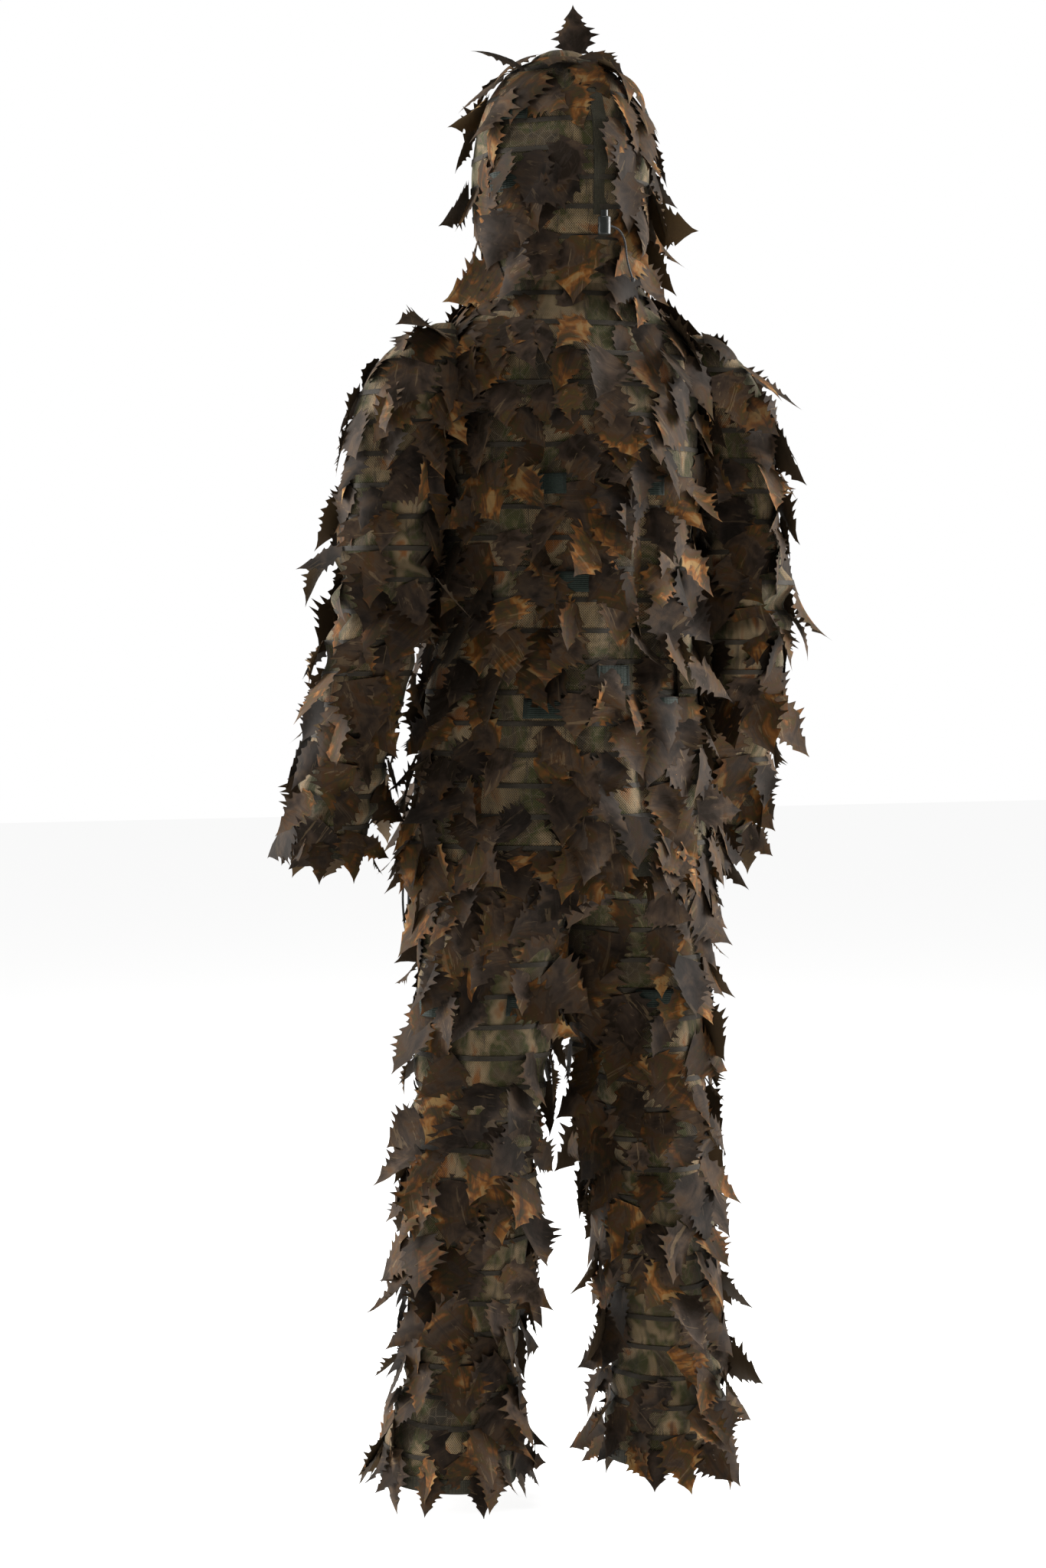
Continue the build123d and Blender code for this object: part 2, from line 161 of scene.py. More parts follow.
makeCamera()
makeStage()
bpy.context.scene.view_settings.view_transform = "Standard"
print("camera and stage made")

hemCordValues = {
    "diameter": 0.003,
    "exitTurn": 71,       # degrees from the front, towards the wearer's left
    "length": 0.172,
    # along the hem, outwards and down from the middle of the two eyelets, in millimetres
    "route": [(-6, 0, 0), (-6, 1.5, 9), (-1, 3.5, 23), (9, 3.5, 37), (14, 2.5, 53), (11, 1, 69), (0, 0, 77),
              (-11, -1, 70), (-15, -2.5, 55), (-10, -3.5, 38), (1, -3.5, 23), (6, -1.5, 9), (6, 0, 0)],
}
hoodCordValues = {
    "diameter": 0.0025,
    "length": 0.073,
    # from the cord lock's side hole, in millimetres of the suit's frame
    "route": [(-8, 131, 567), (-16.5, 131.5, 565.5), (-24, 132.5, 557.5), (-27.5, 134, 545),
              (-28, 135, 531), (-30.5, 136, 517.5), (-35, 136.5, 505)],
}


def makeCord(name, points, diameter, kind="NURBS", roundness=4):
    data = bpy.data.curves.new(name, "CURVE")
    data.dimensions = "3D"
    data.bevel_depth = diameter / 2
    data.bevel_resolution = roundness
    data.resolution_u = 10
    data.use_fill_caps = True
    spline = data.splines.new(kind)
    spline.points.add(len(points) - 1)
    for point, place in zip(spline.points, points):
        point.co = (*place, 1)
    spline.order_u = 3
    spline.use_endpoint_u = True
    return newObject(name, data)


# points of the hem cord, from the eyelets' place and the hem's ellipse
def hemRoute():
    eyeLow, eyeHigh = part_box("hem_eyelets")
    hemLow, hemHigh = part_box("jacket_hem")
    exitPoint = Vector(((eyeLow.x + eyeHigh.x) / 2, (eyeLow.y + eyeHigh.y) / 2, eyeLow.z))
    turn = math.radians(hemCordValues["exitTurn"])
    outward = Vector((math.sin(turn) / (hemHigh.x - hemLow.x), -math.cos(turn) / (hemHigh.y - hemLow.y), 0))
    outward.normalize()
    along = Vector((-outward.y, outward.x, 0))
    down = Vector((0, 0, -1))
    return [exitPoint + (along * a + outward * o + down * d) * mm for a, o, d in hemCordValues["route"]]


hemPoints = hemRoute()
hoodPoints = [Vector(point) * mm for point in hoodCordValues["route"]]
hemCord = makeCord("hemElasticCord", hemPoints, hemCordValues["diameter"])
hoodCord = makeCord("hoodCordTail", hoodPoints, hoodCordValues["diameter"])
print("cords made")


def newMaterial(name):
    material = bpy.data.materials.new(name)
    material.use_nodes = True
    return material, material.node_tree, material.node_tree.nodes["Principled BSDF"]


# an input takes a fixed value or a link from another node's output
def feed(tree, socket, value):
    if isinstance(value, bpy.types.NodeSocket):
        tree.links.new(value, socket)
    else:
        socket.default_value = value


def node(tree, kind, inputs=None, **settings):
    made = tree.nodes.new("ShaderNode" + kind)
    for key, value in settings.items():
        setattr(made, key, value)
    for key, value in (inputs or {}).items():
        feed(tree, made.inputs[key], value)
    return made


def ramp(tree, factor, stops):
    made = node(tree, "ValToRGB", {"Fac": factor})
    elements = made.color_ramp.elements
    while len(elements) < len(stops):
        elements.new(0.5)
    for element, (place, colour) in zip(elements, stops):
        element.position = place
        element.color = (*colour, 1)
    return made.outputs["Color"]


def mixColour(tree, factor, first, second):
    made = node(tree, "Mix", data_type="RGBA")
    feed(tree, [s for s in made.inputs if s.name == "Factor" and s.type == "VALUE"][0], factor)
    for key, value in (("A", first), ("B", second)):
        colour = value if isinstance(value, bpy.types.NodeSocket) else (*value, 1)
        feed(tree, [s for s in made.inputs if s.name == key and s.type == "RGBA"][0], colour)
    return [s for s in made.outputs if s.type == "RGBA"][0]


def maths(tree, operation, first, second=0.0, third=0.0, clamp=False):
    inputs = {0: first, 1: second, 2: third}
    return node(tree, "Math", inputs, operation=operation, use_clamp=clamp).outputs[0]


def times(tree, first, second):
    return maths(tree, "MULTIPLY", first, second)


def plus(tree, first, second, clamp=False):
    return maths(tree, "ADD", first, second, clamp=clamp)


def newGroup(name, inputs, outputs):
    group = bpy.data.node_groups.new(name, "ShaderNodeTree")
    for title, kind, value in inputs:
        socket = group.interface.new_socket(title, in_out="INPUT", socket_type=kind)
        if value is not None:
            socket.default_value = value
    for title, kind in outputs:
        group.interface.new_socket(title, in_out="OUTPUT", socket_type=kind)
    return group, group.nodes.new("NodeGroupInput").outputs, group.nodes.new("NodeGroupOutput").inputs


def useGroup(tree, group, inputs):
    return node(tree, "Group", inputs, node_tree=group).outputs


# colour, fixed values and a fine relief for a material's shader
def finishShader(tree, shader, colour, values, height, strength, depth):
    feed(tree, shader.inputs["Base Color"], colour)
    for name, value in values.items():
        feed(tree, shader.inputs[name], value)
    bump = node(tree, "Bump", {"Height": height, "Strength": strength, "Distance": depth})
    tree.links.new(bump.outputs[0], shader.inputs["Normal"])


# forest-floor print: soft patches, bark streaks and dark litter, from a place on the cloth in metres
def makeWoodlandPrint():
    inputs = [("Place", "NodeSocketVector", None), ("Patch Size", "NodeSocketFloat", 9.0),
              ("Streaks", "NodeSocketFloat", 0.5)]
    group, given, out = newGroup("woodlandPrint", inputs, [("Patch", "NodeSocketFloat"), ("Streak", "NodeSocketFloat"),
                                                           ("Litter", "NodeSocketFloat")])
    patches = node(group, "TexNoise", {"Vector": given["Place"], "Scale": given["Patch Size"], "Detail": 3.0,
                                       "Roughness": 0.55, "Distortion": 0.6})
    stretched = node(group, "Mapping", {"Vector": given["Place"], "Scale": (90.0, 14.0, 30.0)})
    streaks = node(group, "TexNoise", {"Vector": stretched.outputs[0], "Scale": 1.0, "Detail": 4.0,
                                       "Roughness": 0.7, "Distortion": 0.8})
    litter = node(group, "TexVoronoi", {"Vector": given["Place"], "Scale": 60.0, "Randomness": 1.0},
                  feature="DISTANCE_TO_EDGE")
    group.links.new(patches.outputs[0], out["Patch"])
    group.links.new(times(group, streaks.outputs[0], given["Streaks"]), out["Streak"])
    group.links.new(maths(group, "LESS_THAN", litter.outputs["Distance"], 0.035), out["Litter"])
    return group


# round holes in staggered rows, as in knitted mesh: a mask of the holes and the height of the threads
def makeMeshHoles():
    inputs = [("Place", "NodeSocketVector", None), ("Holes Per Metre", "NodeSocketFloat", 430.0),
              ("Hole Size", "NodeSocketFloat", 0.3)]
    group, given, out = newGroup("meshHoles", inputs, [("Hole", "NodeSocketFloat"), ("Height", "NodeSocketFloat")])
    turned = node(group, "Mapping", {"Vector": given["Place"], "Rotation": (0.0, 0.0, math.pi / 4)})
    scaled = node(group, "VectorMath", {0: turned.outputs[0], "Scale": given["Holes Per Metre"]}, operation="SCALE")
    cell = node(group, "VectorMath", {0: scaled.outputs[0]}, operation="FRACTION")
    centred = node(group, "VectorMath", {0: cell.outputs[0], 1: (0.5, 0.5, 0.0)}, operation="SUBTRACT")
    flat = node(group, "VectorMath", {0: centred.outputs[0], 1: (1.0, 1.0, 0.0)}, operation="MULTIPLY")
    distance = node(group, "VectorMath", {0: flat.outputs[0]}, operation="LENGTH").outputs["Value"]
    edge = node(group, "MapRange", {"Value": distance, "From Min": given["Hole Size"], "From Max": 0.44})
    hole = maths(group, "LESS_THAN", distance, given["Hole Size"])
    group.links.new(hole, out["Hole"])
    group.links.new(edge.outputs[0], out["Height"])
    return group


# cross ribs and yarns of webbing, tape and elastic, from a place on the strap in metres
def makeRibbedWeave():
    inputs = [("Place", "NodeSocketVector", None), ("Ribs Per Metre", "NodeSocketFloat", 900.0),
              ("Yarns Per Metre", "NodeSocketFloat", 500.0)]
    group, given, out = newGroup("ribbedWeave", inputs, [("Height", "NodeSocketFloat"), ("Shade", "NodeSocketFloat")])
    parts = node(group, "SeparateXYZ", {0: given["Place"]})
    across = maths(group, "SINE", times(group, parts.outputs[0], given["Yarns Per Metre"]))
    along = maths(group, "SINE", times(group, parts.outputs[1], given["Ribs Per Metre"]))
    height = plus(group, times(group, across, 0.35), along)
    group.links.new(height, out["Height"])
    # Shade: painted shade, darker in the low grooves between ribs and yarns, times a fuzz of yarn tone that differs at
    # random
    fuzz = node(group, "TexNoise", {"Vector": given["Place"], "Scale": 300.0, "Detail": 2.0})
    shade = maths(group, "MULTIPLY_ADD", height, 0.16, 0.8)
    group.links.new(times(group, shade, plus(group, fuzz.outputs[0], 0.5)), out["Shade"])
    return group


woodlandPrint = makeWoodlandPrint()
meshHoles = makeMeshHoles()
ribbedWeave = makeRibbedWeave()

leafPalette = [      # share along the leaf tone, printed colour
    (0.00, (0.010, 0.006, 0.003)),
    (0.18, (0.024, 0.015, 0.010)),
    (0.40, (0.045, 0.028, 0.016)),
    (0.54, (0.045, 0.021, 0.008)),
    (0.66, (0.037, 0.026, 0.008)),
    (0.78, (0.092, 0.034, 0.008)),
    (0.90, (0.158, 0.063, 0.014)),
    (1.00, (0.184, 0.108, 0.039)),
]
leafBackPalette = [(0.0, (0.031, 0.020, 0.010)), (0.6, (0.056, 0.034, 0.016)), (1.0, (0.122, 0.077, 0.033))]
clothPalette = [
    (0.30, (0.018, 0.013, 0.006)),
    (0.40, (0.063, 0.043, 0.020)),
    (0.46, (0.037, 0.038, 0.008)),
    (0.52, (0.122, 0.086, 0.042)),
    (0.59, (0.204, 0.144, 0.075)),
    (0.66, (0.163, 0.061, 0.014)),
]


def uvPlace(tree, name):
    return node(tree, "UVMap", uv_map=name).outputs["UV"]


def attribute(tree, name):
    return node(tree, "Attribute", attribute_name=name).outputs


def makeLeafCloth():
    material, tree, shader = newMaterial("leafCloth")
    mark = node(tree, "SeparateColor", {0: attribute(tree, "leafMark")["Color"]})
    tone, shade, burn = mark.outputs[0], mark.outputs[1], mark.outputs[2]
    place = uvPlace(tree, "print")
    onLeaf = node(tree, "SeparateXYZ", {0: uvPlace(tree, "leaf")})
    across, along = onLeaf.outputs[0], onLeaf.outputs[1]
    printed = useGroup(tree, woodlandPrint, {"Place": place, "Patch Size": 26.0, "Streaks": 1.0})
    # the print turns rusty and tan towards the spines and the tip
    rim = plus(tree, times(tree, burn, 0.14), times(tree, along, 0.16))
    centred = times(tree, maths(tree, "SUBTRACT", printed["Patch"], 0.5), 2.3)
    shifted = plus(tree, times(tree, tone, 0.62), plus(tree, centred, rim), clamp=True)
    base = ramp(tree, shifted, leafPalette)
    streaked = mixColour(tree, times(tree, maths(tree, "GREATER_THAN", printed["Streak"], 0.56), 0.55),
                         base, (0.020, 0.014, 0.010))
    pale = times(tree, maths(tree, "LESS_THAN", printed["Streak"], 0.38), 0.3)
    lifted = mixColour(tree, pale, streaked, (0.17, 0.115, 0.06))
    # veins: a midrib and side veins that rise from it, drawn as on a maple leaf
    rib = maths(tree, "LESS_THAN", maths(tree, "ABSOLUTE", across), 0.022)
    slant = maths(tree, "SUBTRACT", along, times(tree, maths(tree, "ABSOLUTE", across), 0.9))
    wave = maths(tree, "FRACT", times(tree, slant, 5.5))
    side = maths(tree, "LESS_THAN", maths(tree, "ABSOLUTE", maths(tree, "SUBTRACT", wave, 0.5)), 0.05)
    veins = times(tree, maths(tree, "MAXIMUM", rib, side), 0.16)
    veined = mixColour(tree, veins, lifted, (0.030, 0.020, 0.013))
    # a brown burnt line runs along the laser's cut
    burnt = times(tree, maths(tree, "POWER", burn, 7.0), 0.75)
    cut = mixColour(tree, burnt, veined, (0.016, 0.010, 0.006))
    shaded = node(tree, "HueSaturation", {"Color": cut, "Value": plus(tree, shade, 0.45)})
    back = ramp(tree, tone, leafBackPalette)
    backTone = mixColour(tree, times(tree, printed["Streak"], 0.5), back, (0.05, 0.037, 0.026))
    geometry = node(tree, "NewGeometry")
    colour = mixColour(tree, geometry.outputs["Backfacing"], shaded.outputs[0], backTone)
    values = {"Roughness": 0.72, "Specular IOR Level": 0.09, "Sheen Weight": 0.03, "Sheen Tint": (0.8, 0.65, 0.45, 1)}
    grain = node(tree, "TexNoise", {"Vector": place, "Scale": 900.0, "Detail": 2.0})
    ridge = maths(tree, "MULTIPLY_ADD", veins, -0.6, grain.outputs[0])
    finishShader(tree, shader, colour, values, ridge, 0.35, 0.0006)
    return material


def makeMeshCloth():
    material, tree, shader = newMaterial("printedMesh")
    place = uvPlace(tree, "print")
    printed = useGroup(tree, woodlandPrint, {"Place": place, "Patch Size": 17.0, "Streaks": 1.0})
    base = ramp(tree, printed["Patch"], clothPalette)
    streaked = mixColour(tree, times(tree, maths(tree, "GREATER_THAN", printed["Streak"], 0.58), 0.6),
                         base, (0.030, 0.022, 0.014))
    littered = mixColour(tree, times(tree, printed["Litter"], 0.35), streaked, (0.13, 0.10, 0.065))
    holes = useGroup(tree, meshHoles, {"Place": place, "Holes Per Metre": 430.0, "Hole Size": 0.27})
    # the holes are painted near-black: painted shade of the dark inside seen through them, in place of real openings
    holeShadeColour = mixColour(tree, times(tree, holes["Hole"], 0.92), littered, (0.006, 0.005, 0.004))
    values = {"Roughness": 0.85, "Specular IOR Level": 0.2, "Sheen Weight": 0.05}
    finishShader(tree, shader, holeShadeColour, values, holes["Height"], 0.6, 0.0006)
    return material


def makeWebbing(name, colour, ribs, yarns, depth=0.0005, ownPlace=False):
    material, tree, shader = newMaterial(name)
    place = uvPlace(tree, "print")
    if ownPlace:          # sewn tape without a print layer: yarns run level, ribs stand upright
        object = node(tree, "SeparateXYZ", {0: node(tree, "TexCoord").outputs["Object"]})
        level = plus(tree, object.outputs[0], object.outputs[1])
        place = node(tree, "CombineXYZ", {0: object.outputs[2], 1: level}).outputs[0]
    weave = useGroup(tree, ribbedWeave, {"Place": place, "Ribs Per Metre": ribs, "Yarns Per Metre": yarns})
    # the strap's colour is darkened by the weave's painted groove shade
    ribShadedColour = node(tree, "HueSaturation", {"Color": (*colour, 1), "Value": weave["Shade"]})
    values = {"Roughness": 0.7, "Specular IOR Level": 0.2, "Sheen Weight": 0.02}
    finishShader(tree, shader, ribShadedColour.outputs[0], values, weave["Height"], 0.6, depth)
    return material


# braided cord cover: diagonal yarns round the cord, read from the cord's own place
def makeBraid():
    material, tree, shader = newMaterial("braidedCord")
    place = node(tree, "TexCoord").outputs["Object"]
    yarns = node(tree, "TexWave", {"Vector": place, "Scale": 260.0, "Distortion": 3.0, "Detail": 1.0},
                 wave_type="BANDS", bands_direction="DIAGONAL")
    # colour follows the yarn height: darker in the hollows between yarns and lighter on their crowns, painted shade and
    # highlight
    colour = mixColour(tree, yarns.outputs["Fac"], (0.006, 0.006, 0.006), (0.022, 0.022, 0.021))
    finishShader(tree, shader, colour, {"Roughness": 0.62, "Sheen Weight": 0.1}, yarns.outputs["Fac"], 0.5, 0.0003)
    return material


# moulded plastic or painted metal with a fine grain and a little wear
def makeHard(name, colour, roughness, metallic=0.0, wear=(0.1, 0.1, 0.1)):
    material, tree, shader = newMaterial(name)
    place = node(tree, "TexCoord").outputs["Object"]
    blotch = node(tree, "TexNoise", {"Vector": place, "Scale": 220.0, "Detail": 4.0, "Roughness": 0.7})
    worn = node(tree, "MapRange", {"Value": blotch.outputs[0], "From Min": 0.6, "From Max": 0.75, "To Max": 0.5})
    rough = node(tree, "MapRange", {"Value": blotch.outputs[0], "To Min": roughness - 0.08, "To Max": roughness + 0.12})
    finishShader(tree, shader, mixColour(tree, worn.outputs[0], colour, wear),
                 {"Roughness": rough.outputs[0], "Metallic": metallic}, blotch.outputs[0], 0.25, 0.0001)
    return material


leafCloth = makeLeafCloth()
meshCloth = makeMeshCloth()
darkWebbing = makeWebbing("darkGreenWebbing", (0.011, 0.018, 0.012), 2600.0, 1400.0)
oliveTape = makeWebbing("oliveTape", (0.030, 0.026, 0.014), 3000.0, 2600.0, 0.0003, ownPlace=True)
stripTape = makeWebbing("leafStripTape", (0.030, 0.023, 0.014), 5200.0, 4200.0, 0.0002)
zipTape = makeWebbing("zipTapeCloth", (0.022, 0.021, 0.013), 5000.0, 3600.0, 0.0002, ownPlace=True)
elasticCloth = makeWebbing("elasticBand", (0.014, 0.014, 0.013), 2000.0, 3200.0, 0.0004, ownPlace=True)
braidedCord = makeBraid()
blackPlastic = makeHard("blackPlastic", (0.010, 0.012, 0.010), 0.36)
zipPlastic = makeHard("zipNylon", (0.022, 0.022, 0.017), 0.45)
paintedZinc = makeHard("paintedZinc", (0.030, 0.030, 0.026), 0.4, 0.6, (0.25, 0.24, 0.22))
springWire = makeHard("springWire", (0.45, 0.45, 0.45), 0.3, 1.0, (0.3, 0.3, 0.3))
print("materials made")

# rings of the cloth, in millimetres: height, centre x, centre y, half width, half depth
suitRings = {
    "jacketSides": [(-215, 203, 168), (-120, 190, 163), (0, 173, 157), (130, 164, 156), (250, 164, 157),
                    (340, 166, 150), (400, 168, 138), (440, 156, 124), (475, 124, 106), (500, 100, 92)],
    "hood": [(500, 0, -3, 100, 95), (535, 0, 8, 100, 102), (590, 0, -4, 108, 122), (650, 0, -10, 110, 130),
             (700, 0, -12, 105, 126), (745, 0, -13, 88, 108), (780, 0, -12, 60, 76), (796, 0, -12, 32, 42),
             (802, 0, -12, 1, 1)],
    "hips": [(-40, 0, -2, 160, 118), (-120, 0, -2, 174, 132), (-200, 0, -2, 184, 140), (-330, 0, -2, 184, 140)],
    "cap": [(452, 160, 10, 2, 3), (446, 172, 10, 20, 34), (430, 184, 10, 38, 52), (400, 200, 10, 52, 66),
            (360, 216, 10, 58, 73)],
    "sleeveLeft": [(320, 226, 10, 57, 74), (205, 238, 10, 55, 66), (120, 248, 9, 55, 62), (60, 256, -2, 54, 60),
                   (-60, 277, -24, 50, 54), (-195, 300, -52, 47, 50)],
    "sleeveRight": [(320, 226, 10, 57, 74), (205, 238, 14, 55, 66), (120, 248, 16, 55, 62), (60, 250, 6, 54, 60),
                    (-60, 258, -40, 50, 54), (-195, 262, -99, 47, 50)],
    "legs": [(-330, 96, 0, 88, 92), (-465, 108, 0, 82, 86), (-550, 118, 0, 78, 82), (-700, 131, 2, 73, 77)],
    "legEndLeft": [(-880, 144, 0, 68, 74), (-985, 152, -16, 84, 106), (-1003, 152, -16, 84, 106)],
    "legEndRight": [(-880, 144, 4, 70, 75), (-985, 147, -2, 78, 86), (-1003, 147, -2, 78, 86)],
}
foldValues = {
    # turn from the front, half width in radians, depth in metres, highest and lowest height, slant
    "jacket": [(3.42, 0.085, -0.016, 0.33, -0.20, 0.10), (2.62, 0.12, -0.018, 0.40, -0.12, -0.25),
               (2.98, 0.10, 0.008, 0.30, -0.21, 0.05), (3.85, 0.10, -0.011, 0.20, -0.21, 0.3),
               (2.15, 0.14, -0.012, 0.24, -0.19, -0.5), (4.4, 0.16, -0.010, 0.20, -0.2, 0.4),
               (0.75, 0.14, -0.010, 0.30, -0.20, 0.2), (5.6, 0.15, -0.010, 0.25, -0.20, -0.2)],
    "wobble": 0.0035,
    "elbow": 0.0075,
    "cuff": 0.0055,
    "knee": 0.0065,
    "ankle": 0.0045,
}
frontHem = (-184, 0.1217)      # how far forward the front's hem stands, and how much it leans back per height


def jacketRings():
    rings = []
    for height, halfWidth, back in suitRings["jacketSides"]:
        front = frontHem[0] + (height + 215) * frontHem[1]
        rings.append((height, 0, (front + back) / 2, halfWidth, back - (front + back) / 2))
    return rings


suitRings["jacket"] = jacketRings()
suitRings["jacketDown"] = [(-233,) + suitRings["jacket"][0][1:]] + suitRings["jacket"]


# centre and half sizes of a list of rings at any heights, in metres, softened a little at each ring
def ringValues(rings, z):
    ordered = sorted(rings)
    heights = np.array([ring[0] for ring in ordered]) * mm
    values = []
    for column in range(1, 5):
        known = np.array([ring[column] for ring in ordered]) * mm
        spread = [np.interp(z + step, heights, known) for step in (-0.014, 0, 0.014)]
        values.append(sum(spread) / 3)
    return values


def around(rings, side, turn, z, out):
    centreX, centreY, halfWidth, halfDepth = ringValues(rings, z)
    x = side * (centreX + (halfWidth + out) * np.sin(turn))
    y = centreY - (halfDepth + out) * np.cos(turn)
    return np.stack([x, y, z + 0 * x], axis=-1)


def wobble(turn, z, phase):
    soft = np.sin(5 * turn + 13 * z + phase) + 0.7 * np.sin(9 * turn - 21 * z + 2.1 * phase)
    return foldValues["wobble"] * soft * 0.6


def band(z, middle, half):
    return np.exp(-((z - middle) / half) ** 2)


def jacketPoint(turn, z, out):
    depth = wobble(turn, z, 0.4) * np.clip((0.47 - z) / 0.08, 0, 1)
    for centre, half, size, high, low, slant in foldValues["jacket"]:
        place = centre + slant * (z - (high + low) / 2)
        along = np.clip((high - z) / 0.10, 0, 1) * np.clip((z - low) / 0.08, 0, 1)
        depth = depth + size * np.exp(-((turn - place) / half) ** 2) * along
    hold = np.clip((z + 0.215) / 0.05, 0, 1)
    zipHold = np.clip(np.abs(np.sin(turn / 2)) / 0.12, 0, 1)
    return around(suitRings["jacketDown"], 1, turn, z, out + depth * hold * zipHold)


def hoodPoint(turn, z, out):
    hold = np.clip((0.79 - z) / 0.06, 0, 1) * np.clip((z - 0.505) / 0.04, 0, 1)
    soft = wobble(turn, z, 1.9) * 1.1 - 0.006 * band(z, 0.545, 0.018) * (0.5 - 0.5 * np.cos(turn))
    return around(suitRings["hood"], 1, turn, z, out + soft * hold)


def sleeveRings(side):
    return suitRings["cap"] + suitRings["sleeveLeft" if side > 0 else "sleeveRight"]


def sleevePoint(side):
    rings = sleeveRings(side)
    rings = rings + [(-213,) + rings[-1][1:]]
    phase = 0.8 if side > 0 else 2.6

    def point(turn, z, out):
        crumple = foldValues["elbow"] * band(z, 0.12, 0.085) * np.sin(118 * z + 1.4 * np.sin(turn + phase))
        stack = foldValues["cuff"] * band(z, -0.135, 0.055) * np.sin(150 * z + 1.8 * np.sin(turn - phase))
        long = 0.004 * np.sin(3 * turn + 9 * z + phase) * band(z, 0.0, 0.3)
        hold = np.clip((z + 0.195) / 0.03, 0, 1) * np.clip((0.40 - z) / 0.06, 0, 1)
        return around(rings, side, turn, z, out + (crumple + stack + long + wobble(turn, z, phase)) * hold)
    return point


# above the leg's own tube each side of the hips is half of the hip ring, closed by the middle line
def legPoint(side):
    rings = suitRings["legs"] + suitRings["legEndLeft" if side > 0 else "legEndRight"]
    phase = 0.3 if side > 0 else 1.7

    def point(turn, z, out):
        hipY, hipHalf, hipDeep = ringValues(suitRings["hips"], z)[1:]
        crumple = foldValues["knee"] * band(z, -0.555, 0.075) * np.sin(105 * z + 1.5 * np.sin(turn + phase))
        stack = foldValues["ankle"] * band(z, -0.90, 0.06) * np.sin(125 * z + 1.7 * np.sin(turn + phase))
        long = 0.005 * np.sin(3 * turn + 6 * z + phase) * band(z, -0.65, 0.3)
        hold = np.clip((z + 0.985) / 0.03, 0, 1) * np.clip((-0.07 - z) / 0.03, 0, 1)
        depth = out + (crumple + stack + long + wobble(turn, z, phase)) * hold
        tube = around(rings, side, turn, z, depth)
        outer = np.clip(np.sin(turn), 0, 1)
        halfRing = np.stack([side * (hipHalf + depth) * outer, hipY - (hipDeep + depth) * np.cos(turn), z + 0 * turn],
                            axis=-1)
        share = np.clip((-0.2 - z) / 0.13, 0, 1)
        share = (share * share * (3 - 2 * share))[..., None]
        return halfRing * (1 - share) + tube * share
    return point


# a grid of quads between rings, with a print layer in metres; keep says which faces stay
def clothGrid(point, turns, heights, closed=True, keep=None):
    turnGrid, heightGrid = np.meshgrid(turns, heights)
    places = point(turnGrid, heightGrid, 0 * turnGrid)
    rows, columns = turnGrid.shape
    girthRadius = np.linalg.norm(places.max(axis=(0, 1))[:2] - places.min(axis=(0, 1))[:2]) / 2.83
    faces, prints = [], []
    last = columns if closed else columns - 1
    for row in range(rows - 1):
        for column in range(last):
            right = (column + 1) % columns
            corners = [(row, column), (row, right), (row + 1, right), (row + 1, column)]
            middle = sum(places[corner] for corner in corners) / 4
            if keep is not None and not keep(middle):
                continue
            turnRight = turns[right] + (fullTurn if right < column else 0)
            faces.append([r * columns + c for r, c in corners])
            prints.append([(turns[column] * girthRadius, heights[row]), (turnRight * girthRadius, heights[row]),
                           (turnRight * girthRadius, heights[row + 1]), (turns[column] * girthRadius, heights[row + 1])])
    return places.reshape(-1, 3), faces, prints


def meshPiece(name, places, faces, materials, layers, slots=None, smooth=True):
    mesh = bpy.data.meshes.new(name)
    mesh.from_pydata([tuple(place) for place in places], [], faces)
    for layer, values in layers.items():
        uv = mesh.uv_layers.new(name=layer)
        uv.data.foreach_set("uv", np.array(values, dtype=np.float32).ravel())
    for material in materials:
        mesh.materials.append(material)
    if slots is not None:
        mesh.polygons.foreach_set("material_index", slots)
    mesh.polygons.foreach_set("use_smooth", [smooth] * len(mesh.polygons))
    return newObject(name, mesh)


def selectOnly(piece):
    bpy.ops.object.select_all(action="DESELECT")
    piece.select_set(True)
    bpy.context.view_layer.objects.active = piece


# faces are turned the same way round; weld also joins doubled points and drops loose ones
def cleanMesh(piece, weld=False):
    selectOnly(piece)
    bpy.ops.object.mode_set(mode="EDIT")
    bpy.ops.mesh.select_all(action="SELECT")
    if weld:
        bpy.ops.mesh.delete_loose(use_verts=True, use_edges=True, use_faces=False)
        bpy.ops.mesh.remove_doubles(threshold=0.00002)
        bpy.ops.mesh.select_all(action="SELECT")
    bpy.ops.mesh.normals_make_consistent(inside=False)
    bpy.ops.object.mode_set(mode="OBJECT")


leafShapes = {
    # spines of one side: share of the length, half width; then how deep the scallops go
    "broad": ([(-0.02, 0.34), (0.16, 0.47), (0.30, 0.54), (0.44, 0.50), (0.54, 0.36), (0.66, 0.27)], 0.30),
    "oak": ([(0.00, 0.26), (0.19, 0.40), (0.36, 0.48), (0.49, 0.40), (0.60, 0.25), (0.72, 0.19)], 0.28),
    "slim": ([(0.06, 0.22), (0.25, 0.32), (0.41, 0.37), (0.54, 0.27), (0.68, 0.17)], 0.34),
}
leafValues = {
    "length": (0.056, 0.088),
    "width": (0.86, 1.12),     # full width of a broad leaf as a share of its length
    "rowStep": 0.038,
    "spacing": 0.045,
    "bare": 0.12,              # share of the places left without a leaf
    "shift": (0.22, 0.008),    # how far a leaf strays along its row, in places, and up or down, in metres
    "hang": 1.25,              # how much of a slope a leaf bends down again
    "lift": (1, 26),           # degrees away from the cloth at the sewn edge
    "curl": (-30, 44),         # degrees along the leaf
    "cup": (-75, 70),          # degrees across it
    "roll": 24,
    "sway": 44,
    "standOff": 0.0035,
    "seed": 4173,
}
rng = random.Random(leafValues["seed"])


